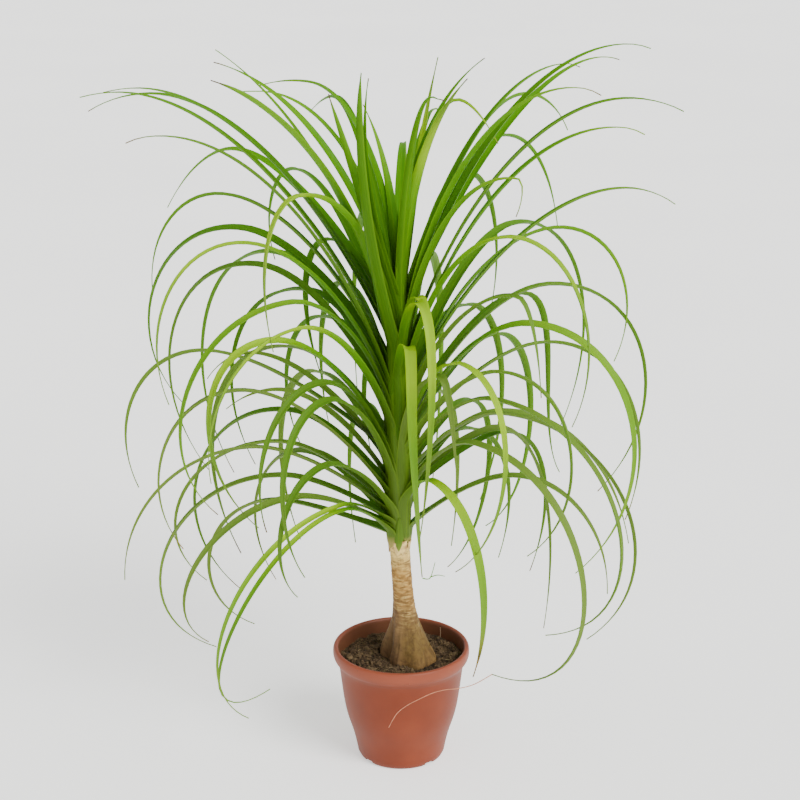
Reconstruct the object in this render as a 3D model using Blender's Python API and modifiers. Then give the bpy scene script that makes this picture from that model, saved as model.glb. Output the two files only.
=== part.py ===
"""Potted ponytail palm: a nursery pot with its soil, a woody swollen trunk and a leafy stem.

Metres, +Z up. The origin is the middle of the pot's flat underside. The plant stands in a plain
hole in the soil, and the leafy stem continues the bare trunk where its lowest leaves begin.
"""
import math
import random
from typing import NamedTuple

import bmesh
import bpy
from mathutils import Matrix, Vector

COLLECTION = "potted_ponytail_palm"
GAP = 0.0003                      # clearance between pieces that touch

# Pot: a 14 cm nursery pot with a rolled lip and a waisted foot
POT_SIDES = 40
POT_HEIGHT = 0.1205
RIM_RADIUS = 0.070
LIP_RADIUS = 0.0670               # crest of the rolled lip
LIP_LOW = 0.1085                  # where the lip's outer face ends
LIP_INNER = 0.0634                # inner wall beside the lip
NECK_OF_WALL = 0.0635             # outer wall below the lip's fillet
NECK_HEIGHT = 0.0975
FOOT_RADIUS = 0.0442
WALL = 0.0020
BASE_THICKNESS = 0.0025
DRAINS = 4
DRAIN_AZIMUTH = 41.0              # degrees, the first drain notch
DRAIN_WIDTH = 0.015
DRAIN_HEIGHT = 0.0038
DRAIN_REACH = 0.033               # radius where a drain notch begins

# Soil
SOIL_HEIGHT = 0.1065
SOIL_RINGS = 5
SOIL_BUMP = 0.0016

# Trunk: a bare leaning stem on a swollen base with root lobes
TRUNK_SIDES = 26
TRUNK_BOTTOM = 0.082
TRUNK_TOP = 0.2350
NECK_RADIUS = 0.0100
BASE_RADIUS = 0.0225
BASE_OFFSET = Vector((0.0075, 0.0015))    # middle of the swollen base, from the pot's axis
TOP_OFFSET = Vector((-0.0020, 0.0))       # middle of the stem where the leaves begin
ROOT_LOBES = (                    # azimuth and half width in degrees, swelling in metres
    (-15.0, 28.0, 0.0070),
    (-66.0, 24.0, 0.0085),
    (-165.0, 24.0, 0.0020),
    (158.0, 18.0, 0.0105),
    (58.0, 30.0, 0.0060),
)

# Leafy stem
CORE_SIDES = 12
CORE_TOP = 0.508
CORE_WAIST = 0.0125               # radius half way up, with the wrapped leaf bases
CORE_TIP = 0.0050
LOWEST_ROOT = 0.238               # heights where the lowest and highest leaves start
HIGHEST_ROOT = 0.496
ROOT_REACH = 0.0040               # where a leaf starts, inside the core
BLADE_WIDTH = 0.0130
BLADE_DEPTH = 0.0022
BLADE_SEGMENTS = 10
TIP_WIDTH = 0.0016
TIP_DEPTH = 0.0011
RISE_FACTOR = 1.45                # steepness at the root over the slope to the crest
TWIST_MOST = 50.0                 # degrees, along a whole leaf
GOLDEN_ANGLE = 137.508


class Leaf(NamedTuple):
    """One strap leaf, in the upright plane at its azimuth.

    crest and tip are (reach from the stem's axis, height). hang is how far the tip points below
    the horizontal, in degrees. A leaf that still rises at its tip has no crest and a negative hang.
    A blunter leaf stays broad further along. sway is how far it bends to the side half way.
    """
    azimuth: float
    crest: tuple
    tip: tuple
    hang: float
    width: float = 1.0
    blunt: float = 1.7
    sway: float = 0.0


# The leaves that make the plant's outline, from the lowest up, a tier of the stem to each list
SKIRT = (
    Leaf(215, (0.070, 0.285), (0.155, 0.115), 195),
    Leaf(158, (0.125, 0.260), (0.165, 0.115), 170),
    Leaf(352, (0.115, 0.310), (0.210, 0.190), 90),
    Leaf(205, (0.115, 0.300), (0.205, 0.165), 145),
    Leaf(222, (0.070, 0.290), (0.195, 0.105), 145),
    Leaf(175, (0.115, 0.300), (0.190, 0.110), 165),
    Leaf(230, (0.110, 0.345), (0.150, 0.225), 135),
    Leaf(186, (0.145, 0.340), (0.275, 0.205), 90),
    Leaf(172, (0.120, 0.335), (0.200, 0.180), 145),
    Leaf(305, (0.055, 0.315), (0.125, 0.135), 112, 0.85, 3.5),
    Leaf(320, (0.095, 0.360), (0.120, 0.125), 180),
)
LOWER = (
    Leaf(198, (0.165, 0.410), (0.220, 0.255), 125),
    Leaf(232, (0.110, 0.410), (0.145, 0.245), 125),
    Leaf(35, (0.125, 0.325), (0.170, 0.160), 115),
    Leaf(180, (0.120, 0.395), (0.170, 0.375), 25),
    Leaf(28, (0.110, 0.335), (0.175, 0.100), 100),
    Leaf(225, (0.110, 0.425), (0.175, 0.295), 110),
    Leaf(10, (0.100, 0.365), (0.240, 0.215), 80),
    Leaf(342, (0.105, 0.380), (0.195, 0.155), 140),
    Leaf(62, (0.135, 0.340), (0.110, 0.165), 180),
    Leaf(165, (0.150, 0.420), (0.200, 0.390), 45),
    Leaf(330, (0.100, 0.400), (0.165, 0.170), 165),
    Leaf(300, (0.085, 0.430), (0.110, 0.330), 85),
    Leaf(205, (0.135, 0.460), (0.150, 0.275), 135),
    Leaf(325, (0.125, 0.435), (0.150, 0.255), 140),
    Leaf(165, (0.195, 0.420), (0.280, 0.265), 115),
    Leaf(305, (0.100, 0.445), (0.095, 0.235), 145),
    Leaf(5, (0.145, 0.440), (0.230, 0.250), 110),
    Leaf(338, (0.135, 0.475), (0.185, 0.230), 135),
    Leaf(222, (0.125, 0.480), (0.230, 0.355), 100),
)
MIDDLE = (
    Leaf(60, (0.185, 0.400), (0.190, 0.185), 185),
    Leaf(10, (0.150, 0.495), (0.205, 0.275), 135),
    Leaf(40, (0.155, 0.465), (0.225, 0.255), 55),
    Leaf(208, (0.115, 0.497), (0.195, 0.300), 135),
    Leaf(318, (0.145, 0.515), (0.175, 0.425), 85),
    Leaf(160, (0.150, 0.508), (0.210, 0.285), 130),
    Leaf(125, (0.115, 0.440), (0.185, 0.285), 135),
    Leaf(110, (0.060, 0.405), (0.085, 0.300), 115),
    Leaf(8, (0.155, 0.552), (0.215, 0.415), 115),
    Leaf(192, (0.155, 0.550), (0.225, 0.395), 110),
    Leaf(325, (0.130, 0.565), (0.195, 0.395), 115),
    Leaf(200, (0.235, 0.660), (0.260, 0.655), 25),
    Leaf(355, (0.215, 0.600), (0.260, 0.585), 20),
    Leaf(140, (0.115, 0.475), (0.200, 0.270), 130),
    Leaf(325, (0.130, 0.620), (0.130, 0.585), 115, 1.15),
    Leaf(286, (0.058, 0.455), (0.080, 0.229), 90, 0.90, 2.5, -0.011),
    Leaf(165, (0.180, 0.580), (0.255, 0.475), 95),
    Leaf(335, (0.220, 0.670), (0.240, 0.665), 10),
    Leaf(290, (0.069, 0.500), (0.059, 0.260), 115, 0.85, 1.7, -0.004),
    Leaf(290, (0.050, 0.500), (0.091, 0.375), 88, 0.85, 2.5),
)
UPPER = (
    Leaf(178, (0.265, 0.685), (0.300, 0.680), 15),
    Leaf(215, None, (0.200, 0.715), -20, 1.0, 3.2),
    Leaf(345, (0.220, 0.690), (0.265, 0.680), 20),
    Leaf(222, (0.120, 0.605), (0.155, 0.465), 105, 1.10),
    Leaf(235, None, (0.060, 0.712), -105, 1.15, 5.0),
    Leaf(330, (0.185, 0.705), (0.205, 0.700), 5),
    Leaf(165, (0.245, 0.675), (0.315, 0.655), 20),
    Leaf(190, None, (0.170, 0.730), -35),
    Leaf(12, (0.220, 0.725), (0.245, 0.720), 10),
    Leaf(172, (0.250, 0.685), (0.285, 0.680), 15),
    Leaf(200, (0.140, 0.695), (0.155, 0.695), 10),
    Leaf(135, (0.090, 0.530), (0.110, 0.380), 120),
    Leaf(30, (0.185, 0.700), (0.205, 0.695), 10),
    Leaf(285, (0.120, 0.700), (0.150, 0.702), 0, 0.90, 2.2),
    Leaf(310, None, (0.095, 0.710), -40, 1.05, 3.0),
    Leaf(55, (0.170, 0.620), (0.300, 0.500), 75),
    Leaf(225, None, (0.090, 0.695), -70, 1.10, 4.0),
    Leaf(40, (0.265, 0.695), (0.295, 0.690), 10),
)
HEART = (
    Leaf(160, None, (0.190, 0.705), -10),
    Leaf(35, None, (0.100, 0.710), -25),
    Leaf(25, (0.060, 0.675), (0.105, 0.630), 60),
    Leaf(140, (0.115, 0.685), (0.180, 0.675), 10),
    Leaf(236, None, (0.050, 0.706), -105, 0.90, 3.0),
    Leaf(80, (0.210, 0.635), (0.265, 0.620), 15),
    Leaf(60, None, (0.075, 0.710), -60),
    Leaf(120, None, (0.070, 0.665), -40),
)

# The leaves of the spiral that fill the back and the heart of the crown
SPIRAL_LEAVES = 62
SPIRAL_LOW = 0.245
SPIRAL_HIGH = 0.478
BACK_AZIMUTHS = (42.0, 158.0)
SPIRAL_SEED = 11


def remove_everything():
    """Empty the file of objects and collections."""
    for obj in list(bpy.data.objects):
        bpy.data.objects.remove(obj, do_unlink=True)
    for collection in list(bpy.data.collections):
        bpy.data.collections.remove(collection)


def new_collection(name):
    """Make a collection of that name in the scene."""
    collection = bpy.data.collections.new(name)
    bpy.context.scene.collection.children.link(collection)
    return collection


def new_material(name, color, roughness):
    """Make a Principled material from a linear colour and a roughness."""
    material = bpy.data.materials.new(name)
    material.use_nodes = True
    shader = material.node_tree.nodes["Principled BSDF"]
    shader.inputs["Base Color"].default_value = (*color, 1.0)
    shader.inputs["Roughness"].default_value = roughness
    shader.inputs["Metallic"].default_value = 0.0
    return material


def new_object(name, mesh, collection):
    """Make an object of a mesh in a collection."""
    obj = bpy.data.objects.new(name, mesh)
    collection.objects.link(obj)
    return obj


def finish(obj, material, sharp_angle):
    """Give a piece its material, smooth across edges flatter than the angle in degrees."""
    obj.data.materials.clear()
    obj.data.materials.append(material)
    obj.data.shade_smooth()
    obj.data.set_sharp_from_angle(angle=math.radians(sharp_angle))


def apply_modifiers(obj):
    """Bake an object's modifiers into a mesh of its own."""
    evaluated = obj.evaluated_get(bpy.context.evaluated_depsgraph_get())
    mesh = bpy.data.meshes.new_from_object(evaluated)
    obj.modifiers.clear()
    obj.data = mesh


def fill_sealed_hollows(obj):
    """Keep only the largest connected surface, so that no hollow is sealed inside it."""
    mesh = bmesh.new()
    mesh.from_mesh(obj.data)
    unseen = set(mesh.faces)
    shells = []
    while unseen:
        shell = {unseen.pop()}
        edge_of_shell = list(shell)
        while edge_of_shell:
            face = edge_of_shell.pop()
            near = {other for edge in face.edges for other in edge.link_faces} & unseen
            unseen -= near
            shell |= near
            edge_of_shell.extend(near)
        shells.append(shell)
    shells.sort(key=len)
    for shell in shells[:-1]:
        bmesh.ops.delete(mesh, geom=list(shell), context="FACES")
    mesh.to_mesh(obj.data)
    mesh.free()


def turned(name, profile, sides, collection):
    """Turn a profile of (radius, height), given down its outer side, about the Z axis."""
    mesh = bpy.data.meshes.new(name)
    points = [(radius, 0.0, height) for radius, height in profile]
    edges = [(i, i + 1) for i in range(len(points) - 1)]
    mesh.from_pydata(points, edges, [])
    obj = new_object(name, mesh, collection)
    screw = obj.modifiers.new("turn", "SCREW")
    screw.steps = sides
    screw.render_steps = sides
    screw.use_merge_vertices = True
    screw.merge_threshold = 0.00005
    apply_modifiers(obj)
    return obj


def blend(low, high, share):
    """Value between two, by a share from 0 to 1."""
    return low + (high - low) * share


def arc(center, radius, start, end, steps):
    """Points on a circle's arc between two angles in degrees, both ends included."""
    points = []
    for i in range(steps + 1):
        angle = math.radians(start + (end - start) * i / steps)
        points.append((center[0] + radius * math.cos(angle), center[1] + radius * math.sin(angle)))
    return points


def wall_radius(height):
    """Outer radius of the pot's wall: a tapering body that draws in to a waisted foot."""
    body = 0.0518 + 0.120 * height
    waist = FOOT_RADIUS + 0.16 * height
    share = 1.0 / (1.0 + math.exp(-(height - 0.0375) / 0.0085))
    return waist + (body - waist) * share


def wall_heights():
    """Heights of the wall's profile points, close together where it bends."""
    return (0.086, 0.066, 0.052, 0.043, 0.035, 0.027, 0.016, 0.004)


def make_pot(collection, cutters):
    """The pot: rolled lip, waisted wall, flat base and drain notches through its bottom edge."""
    lip = arc((LIP_RADIUS, POT_HEIGHT - 0.0030), 0.0030, 180.0, 0.0, 6)
    lip += [(RIM_RADIUS - 0.0001, LIP_LOW + 0.0030), (RIM_RADIUS - 0.0010, LIP_LOW)]
    fillet = [(0.0668, 0.1055), (0.0645, 0.1010), (NECK_OF_WALL, NECK_HEIGHT)]
    outer = [(wall_radius(z), z) for z in wall_heights()]
    toe = [(FOOT_RADIUS - 0.0010, 0.0012), (FOOT_RADIUS - 0.0030, 0.0)]
    inner = [(radius - WALL, z) for radius, z in reversed(outer[:-1])]
    profile = lip + fillet + outer + toe
    profile += [(0.0, 0.0), (0.0, BASE_THICKNESS), (inner[0][0] - 0.0035, BASE_THICKNESS)]
    profile += inner + [(NECK_OF_WALL - WALL, NECK_HEIGHT), (LIP_INNER, LIP_LOW), lip[0]]
    pot = turned("pot", profile, POT_SIDES, collection)

    for i in range(DRAINS):
        angle = math.radians(DRAIN_AZIMUTH + 360.0 / DRAINS * i)
        bpy.ops.mesh.primitive_cube_add(size=1.0)
        cutter = bpy.context.object
        cutter.name = f"drain_cutter_{i}"
        length = 2.0 * (FOOT_RADIUS + 0.006 - DRAIN_REACH)
        middle = DRAIN_REACH + length / 2.0
        place = Matrix.Rotation(angle, 4, "Z") @ Matrix.Translation((middle, 0.0, 0.0))
        size = Matrix.Diagonal((length, DRAIN_WIDTH, 2.0 * DRAIN_HEIGHT, 1.0))
        cutter.data.transform(place @ size)
        for owner in list(cutter.users_collection):
            owner.objects.unlink(cutter)
        cutters.objects.link(cutter)
        cutter.hide_render = True
        cutter.display_type = "WIRE"
        notch = pot.modifiers.new(f"drain_{i}", "BOOLEAN")
        notch.object = cutter
        notch.operation = "DIFFERENCE"
    return pot


def trunk_axis(height):
    """Middle of the trunk at a height, leaning from the swollen base to the leafy stem."""
    share = min(1.0, max(0.0, (height - SOIL_HEIGHT) / (TRUNK_TOP - SOIL_HEIGHT)))
    ease = share ** 0.9
    return BASE_OFFSET.lerp(TOP_OFFSET, ease)


def trunk_radius(height, azimuth):
    """Radius of the trunk at a height and an azimuth in degrees, with its root lobes."""
    above = (height - SOIL_HEIGHT) / 0.024
    flare = math.exp(-max(0.0, above) ** 1.35) if above > 0.0 else 1.0
    spread = 1.0 / (1.0 + math.exp((height - SOIL_HEIGHT - 0.036) / 0.010))
    radius = NECK_RADIUS + (BASE_RADIUS - NECK_RADIUS) * (0.45 * flare + 0.55 * spread)
    for lobe_azimuth, half_width, swelling in ROOT_LOBES:
        away = (azimuth - lobe_azimuth + 180.0) % 360.0 - 180.0
        radius += swelling * flare ** 0.8 * math.exp(-(away / half_width) ** 2)
    below = max(0.0, SOIL_HEIGHT - height) / (SOIL_HEIGHT - TRUNK_BOTTOM)
    radius *= 1.0 - 0.45 * below ** 2
    ripple = 0.00035 * math.sin(height * 900.0 + 1.3 * math.sin(math.radians(azimuth)))
    return radius + ripple * (1.0 - flare)


def trunk_heights():
    """Heights of the trunk's rings, closest where the base swells."""
    below = [TRUNK_BOTTOM, 0.089, 0.096, 0.102]
    swell = [SOIL_HEIGHT + 0.0050 * i for i in range(9)]
    stem = [swell[-1] + (TRUNK_TOP - swell[-1]) * i / 12.0 for i in range(1, 13)]
    return below + swell + stem


def trunk_body(name, collection, clearance):
    """The trunk's lofted surface, grown by a clearance where it is used to cut its hole."""
    mesh = bmesh.new()
    rings = []
    heights = trunk_heights()
    for height in heights:
        axis = trunk_axis(height)
        level = height - clearance if height == heights[0] else height
        ring = []
        for i in range(TRUNK_SIDES):
            azimuth = 360.0 * i / TRUNK_SIDES
            radius = trunk_radius(height, azimuth) + clearance
            angle = math.radians(azimuth)
            x = axis.x + radius * math.cos(angle)
            y = axis.y + radius * math.sin(angle)
            ring.append(mesh.verts.new((x, y, level)))
        rings.append(ring)
    bridge_rings(mesh, rings)
    mesh.faces.new(list(reversed(rings[0])))
    mesh.faces.new(rings[-1])
    return mesh_object(name, mesh, collection)


def bridge_rings(mesh, rings):
    """Join rings of equal length with triangles, split alike all round."""
    for low, high in zip(rings, rings[1:]):
        count = len(low)
        for i in range(count):
            j = (i + 1) % count
            mesh.faces.new((low[i], low[j], high[j]))
            mesh.faces.new((low[i], high[j], high[i]))


def mesh_object(name, mesh, collection):
    """Turn a bmesh into an object and free it."""
    data = bpy.data.meshes.new(name)
    mesh.normal_update()
    mesh.to_mesh(data)
    mesh.free()
    return new_object(name, data, collection)


def soil_bump(x, y):
    """Height of the crumbly surface above its mean level."""
    wave = math.sin(210.0 * x + 1.1) * math.cos(187.0 * y - 0.6)
    wave += 0.6 * math.sin(390.0 * x - 330.0 * y + 2.0)
    return SOIL_BUMP * wave / 1.6


def make_soil(collection, cutters):
    """The soil: it fills the pot, with an uneven top and a plain hole for the trunk."""
    inner = [(wall_radius(z) - WALL - GAP, z) for z in wall_heights()[:-1]]
    floor_height = BASE_THICKNESS + GAP
    edge = NECK_OF_WALL - WALL - GAP
    rim = blend(edge, LIP_INNER - GAP, (SOIL_HEIGHT - NECK_HEIGHT) / (LIP_LOW - NECK_HEIGHT))
    top = [(rim * i / SOIL_RINGS, SOIL_HEIGHT) for i in range(SOIL_RINGS)]
    profile = top + [(rim, SOIL_HEIGHT), (edge, NECK_HEIGHT)] + inner
    profile += [(inner[-1][0] - 0.0040, floor_height), (0.0, floor_height)]
    soil = turned("soil", profile, POT_SIDES, collection)
    for vertex in soil.data.vertices:
        reach = math.hypot(vertex.co.x, vertex.co.y)
        if vertex.co.z > SOIL_HEIGHT - 0.0001 and reach < rim - 0.001:
            vertex.co.z += soil_bump(vertex.co.x, vertex.co.y)
    hole = trunk_body("trunk_hole_cutter", cutters, GAP)
    hole.hide_render = True
    hole.display_type = "WIRE"
    cut = soil.modifiers.new("trunk_hole", "BOOLEAN")
    cut.object = hole
    cut.operation = "DIFFERENCE"
    return soil


def bezier(start, leave, arrive, end, share):
    """Point on a cubic Bezier curve."""
    rest = 1.0 - share
    return (start * rest ** 3 + leave * 3.0 * rest * rest * share
            + arrive * 3.0 * rest * share * share + end * share ** 3)


def bow(start, start_slope, end, end_slope, steps):
    """Points on one bow between two points, with slopes in radians above the horizontal."""
    chord = end - start
    along = math.atan2(chord.y, chord.x)
    opening = start_slope - along
    closing = along - end_slope
    turn = abs(opening + closing)
    reach = chord.length / 3.0
    leave_reach = arrive_reach = reach
    if opening * closing > 0.0 and turn > 0.001:
        scale = chord.length * 2.0 / 3.0 * math.tan(turn / 4.0) / math.sin(turn / 2.0) ** 2
        leave_reach = scale * math.sin(abs(closing))
        arrive_reach = scale * math.sin(abs(opening))
    leave = start + leave_reach * Vector((math.cos(start_slope), math.sin(start_slope)))
    arrive = end - arrive_reach * Vector((math.cos(end_slope), math.sin(end_slope)))
    return [bezier(start, leave, arrive, end, i / steps) for i in range(steps + 1)]


def leaf_line(leaf, root_height, steps):
    """The leaf's midrib as evenly spaced (reach, height) points."""
    root = Vector((ROOT_REACH, root_height))
    tip = Vector(leaf.tip)
    hang = -math.radians(leaf.hang)
    if leaf.crest is None:
        chord = tip - root
        along = math.atan2(chord.y, chord.x)
        fine = bow(root, along + 0.6 * (along - hang), tip, hang, 60)
    else:
        crest = Vector(leaf.crest)
        rise = crest - root
        slope = min(RISE_FACTOR * math.atan2(rise.y, rise.x), math.radians(88.0))
        fine = bow(root, slope, crest, 0.0, 40) + bow(crest, 0.0, tip, hang, 60)[1:]
    lengths = [0.0]
    for a, b in zip(fine, fine[1:]):
        lengths.append(lengths[-1] + (b - a).length)
    line = []
    index = 0
    for i in range(steps + 1):
        target = lengths[-1] * i / steps
        while index < len(fine) - 2 and lengths[index + 1] < target:
            index += 1
        share = (target - lengths[index]) / (lengths[index + 1] - lengths[index])
        line.append(fine[index].lerp(fine[index + 1], min(1.0, share)))
    return line


def blade_width(share, blunt):
    """Width along the leaf, over its full width: broad to the middle, then to a thread."""
    return (1.0 - share ** blunt) ** 1.15


def make_blade(name, leaf, root_height, twist, collection):
    """One leaf as a closed strap with a keel under it, starting inside the core."""
    mesh = bmesh.new()
    line = leaf_line(leaf, root_height, BLADE_SEGMENTS)
    angle = math.radians(leaf.azimuth)
    outward = Vector((math.cos(angle), math.sin(angle), 0.0))
    sideways = Vector((-math.sin(angle), math.cos(angle), 0.0))
    upward = Vector((0.0, 0.0, 1.0))
    foot = Vector((TOP_OFFSET.x, TOP_OFFSET.y, 0.0))
    rings = []
    for i in range(BLADE_SEGMENTS):
        share = i / BLADE_SEGMENTS
        ahead = line[i + 1] - line[max(0, i - 1)]
        ahead.normalize()
        normal = upward * ahead.x - outward * ahead.y
        tangent = outward * ahead.x + upward * ahead.y
        turn = Matrix.Rotation(math.radians(twist) * share, 3, tangent)
        across = turn @ sideways
        normal = turn @ normal
        bend = leaf.sway * math.sin(math.pi * share)
        middle = foot + outward * line[i].x + upward * line[i].y + sideways * bend
        narrowing = blade_width(share, leaf.blunt)
        width = max(TIP_WIDTH, BLADE_WIDTH * leaf.width * narrowing)
        depth = blend(TIP_DEPTH, BLADE_DEPTH, narrowing)
        left = mesh.verts.new(middle + across * (width / 2.0))
        right = mesh.verts.new(middle - across * (width / 2.0))
        keel = mesh.verts.new(middle - normal * depth)
        rings.append((left, right, keel))
    tip = mesh.verts.new(foot + outward * line[-1].x + upward * line[-1].y)
    bridge_rings(mesh, rings)
    mesh.faces.new(tuple(reversed(rings[0])))
    for i in range(3):
        mesh.faces.new((rings[-1][i], rings[-1][(i + 1) % 3], tip))
    bmesh.ops.recalc_face_normals(mesh, faces=mesh.faces)
    return mesh_object(name, mesh, collection)


def outline_leaves():
    """The listed leaves with the heights they start at, in even steps up the stem."""
    leaves = [*SKIRT, *LOWER, *MIDDLE, *UPPER, *HEART]
    last = len(leaves) - 1
    return [(blend(LOWEST_ROOT, HIGHEST_ROOT, i / last), leaf) for i, leaf in enumerate(leaves)]


def spiral_leaves():
    """The golden-angle spiral's leaves in the back of the crown, with the heights they start at."""
    draws = random.Random(SPIRAL_SEED)
    leaves = []
    for i in range(SPIRAL_LEAVES):
        azimuth = (i * GOLDEN_ANGLE) % 360.0
        age = i / (SPIRAL_LEAVES - 1.0)
        vary = [draws.uniform(-1.0, 1.0) for _ in range(5)]
        if not BACK_AZIMUTHS[0] < azimuth < BACK_AZIMUTHS[1]:
            continue
        root = blend(SPIRAL_LOW, SPIRAL_HIGH, age)
        crest_reach = blend(0.110, 0.190, age) * (1.0 + 0.20 * vary[0])
        crest_height = root + blend(0.055, 0.180, age ** 1.1) * (1.0 + 0.15 * vary[1])
        tip_reach = crest_reach + blend(0.065, 0.085, age) * (1.0 + 0.30 * vary[2])
        drop = blend(0.150, 0.230, min(1.0, 2.0 * age)) * min(1.0, 2.15 * (1.0 - age) + 0.12)
        tip_height = crest_height - drop * (1.0 + 0.20 * vary[3])
        fall = math.atan2(crest_height - tip_height, tip_reach - crest_reach)
        hang = 1.9 * math.degrees(fall) + 15.0 * vary[4]
        leaf = Leaf(azimuth, (crest_reach, crest_height), (tip_reach, tip_height), hang)
        leaves.append((root, leaf))
    return leaves


def make_leafy_stem(collection):
    """The green stem with every leaf fused to it, its foot face to face with the trunk's top."""
    foot = TRUNK_TOP + GAP
    profile = [(0.0, CORE_TOP), (CORE_TIP, CORE_TOP - 0.002)]
    profile += [(0.0085, 0.468), (CORE_WAIST, 0.400), (CORE_WAIST, 0.330)]
    profile += [(NECK_RADIUS + 0.0008, 0.270), (NECK_RADIUS, foot), (0.0, foot)]
    core = turned("leafy_stem", profile, CORE_SIDES, collection)
    core.data.transform(Matrix.Translation((TOP_OFFSET.x, TOP_OFFSET.y, 0.0)))

    blades = new_collection("blades")
    draws = random.Random(SPIRAL_SEED + 1)
    for i, (root_height, leaf) in enumerate([*outline_leaves(), *spiral_leaves()]):
        twist = draws.uniform(-TWIST_MOST, TWIST_MOST)
        make_blade(f"blade_{i}", leaf, root_height, twist, blades)
    union = core.modifiers.new("grow_together", "BOOLEAN")
    union.operation = "UNION"
    union.operand_type = "COLLECTION"
    union.collection = blades
    union.solver = "MANIFOLD"
    apply_modifiers(core)
    fill_sealed_hollows(core)
    for blade in list(blades.objects):
        bpy.data.objects.remove(blade, do_unlink=True)
    bpy.data.collections.remove(blades)
    return core


def main():
    """Build the pot, soil, trunk and leafy stem."""
    remove_everything()
    parts = new_collection(COLLECTION)
    cutters = new_collection("cutters")
    pot = make_pot(parts, cutters)
    soil = make_soil(parts, cutters)
    trunk = trunk_body("trunk", parts, 0.0)
    leafy_stem = make_leafy_stem(parts)
    finish(pot, new_material("pot_plastic", (0.35, 0.11, 0.07), 0.55), 40.0)
    finish(soil, new_material("potting_soil", (0.05, 0.03, 0.02), 0.95), 30.0)
    finish(trunk, new_material("bark", (0.40, 0.26, 0.12), 0.85), 60.0)
    finish(leafy_stem, new_material("leaf_green", (0.12, 0.26, 0.02), 0.45), 40.0)


main()
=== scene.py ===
"""Potted ponytail palm, dressed: a moulded nursery pot, peat soil, ringed bark and strap leaves.

Metres, +Z up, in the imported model's frame. The origin is the middle of the pot's flat underside.
Each class below holds one sub-assembly's sizes and builds its meshes. Each finish is a class of its
own that makes one node-based material.
"""
import logging
import math
import random
from dataclasses import dataclass, field
from enum import Enum
from functools import partial
from typing import Any, Callable, NamedTuple, Optional

import bmesh
import bpy
import numpy as np
from mathutils import Matrix, Vector, noise

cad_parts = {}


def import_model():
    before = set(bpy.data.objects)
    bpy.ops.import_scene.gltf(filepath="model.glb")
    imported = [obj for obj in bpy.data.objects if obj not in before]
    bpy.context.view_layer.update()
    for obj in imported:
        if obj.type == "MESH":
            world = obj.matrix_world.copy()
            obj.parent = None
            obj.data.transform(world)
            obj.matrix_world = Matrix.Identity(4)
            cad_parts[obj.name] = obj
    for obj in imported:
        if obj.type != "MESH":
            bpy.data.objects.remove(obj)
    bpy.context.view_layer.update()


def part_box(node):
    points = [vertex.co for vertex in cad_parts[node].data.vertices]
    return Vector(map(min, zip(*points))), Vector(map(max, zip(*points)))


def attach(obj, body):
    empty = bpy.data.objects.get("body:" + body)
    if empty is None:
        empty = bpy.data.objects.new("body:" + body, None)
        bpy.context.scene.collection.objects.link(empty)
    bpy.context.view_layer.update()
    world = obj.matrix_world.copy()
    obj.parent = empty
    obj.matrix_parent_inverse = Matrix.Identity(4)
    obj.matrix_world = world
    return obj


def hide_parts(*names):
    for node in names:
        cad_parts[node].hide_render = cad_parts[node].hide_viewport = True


log = logging.getLogger("ponytail_palm")

BODY = "root"
GAP = 0.0003                      # clearance between pieces that touch
GOLDEN_ANGLE = 137.508
FOLD_POWER = 1.35                 # how round the valley of a folded strip is: 1 is a sharp V
# inputs of the nodes that a finish has several of, in the order of its rows of values
NOISE = ("Vector", "Scale", "Detail", "Roughness", "Distortion")
RANGE = ("Value", "From Min", "From Max", "To Min", "To Max")

Point2 = tuple[float, float]
Point3 = tuple[float, float, float]
Line = list[dict[str, Any]]       # its points in order, each with its "position" and attributes
Maker = Callable[..., bpy.types.Node]   # adds a node to one tree


# ---------------------------------------------------------------------------- small helpers


def linear(hex_color: str) -> tuple[float, float, float, float]:
    """Turn an sRGB hex colour into linear light.

    Args:
        hex_color: a colour such as "#8A6A40".

    Returns:
        Red, green, blue and an alpha of 1.
    """
    values = [int(hex_color[i:i + 2], 16) / 255.0 for i in (1, 3, 5)]
    lit = [v / 12.92 if v <= 0.04045 else ((v + 0.055) / 1.055) ** 2.4 for v in values]
    return (lit[0], lit[1], lit[2], 1.0)


def blend(low: float, high: float, share: float) -> float:
    """Value between two, by a share from 0 to 1."""
    return low + (high - low) * share


def smooth_step(low: float, high: float, value: float) -> float:
    """Ease from 0 at low to 1 at high."""
    share = min(1.0, max(0.0, (value - low) / (high - low)))
    return share * share * (3.0 - 2.0 * share)


def feed(node: bpy.types.Node, inputs: dict) -> None:
    """Set a node's inputs, or link them.

    Args:
        node: the node.
        inputs: input name or number to a value, a socket to link from, or a node whose first
            output in use is linked.
    """
    for key, value in inputs.items():
        if isinstance(value, bpy.types.Node):
            value = next(socket for socket in value.outputs if socket.enabled)
        if isinstance(value, bpy.types.NodeSocket):
            node.id_data.links.new(value, node.inputs[key])
        else:
            node.inputs[key].default_value = value


def add_node(tree: bpy.types.NodeTree, kind: str, inputs: Optional[dict] = None,
             stops: tuple = (), **settings: Any) -> bpy.types.Node:
    """Add a node with its settings, values and links.

    Args:
        tree: the node tree it goes in.
        kind: the node's type name.
        inputs: its inputs, as feed takes them.
        stops: position and sRGB hex colour of each stop of a colour ramp, in order.
        settings: the node's own properties.

    Returns:
        The new node.
    """
    node = tree.nodes.new(kind)
    for name, value in settings.items():
        setattr(node, name, value)
    for _ in stops[2:]:
        node.color_ramp.elements.new(1.0)
    for i, (position, color) in enumerate(stops):
        node.color_ramp.elements[i].position = position
        node.color_ramp.elements[i].color = linear(color)
    feed(node, inputs or {})
    return node


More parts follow.
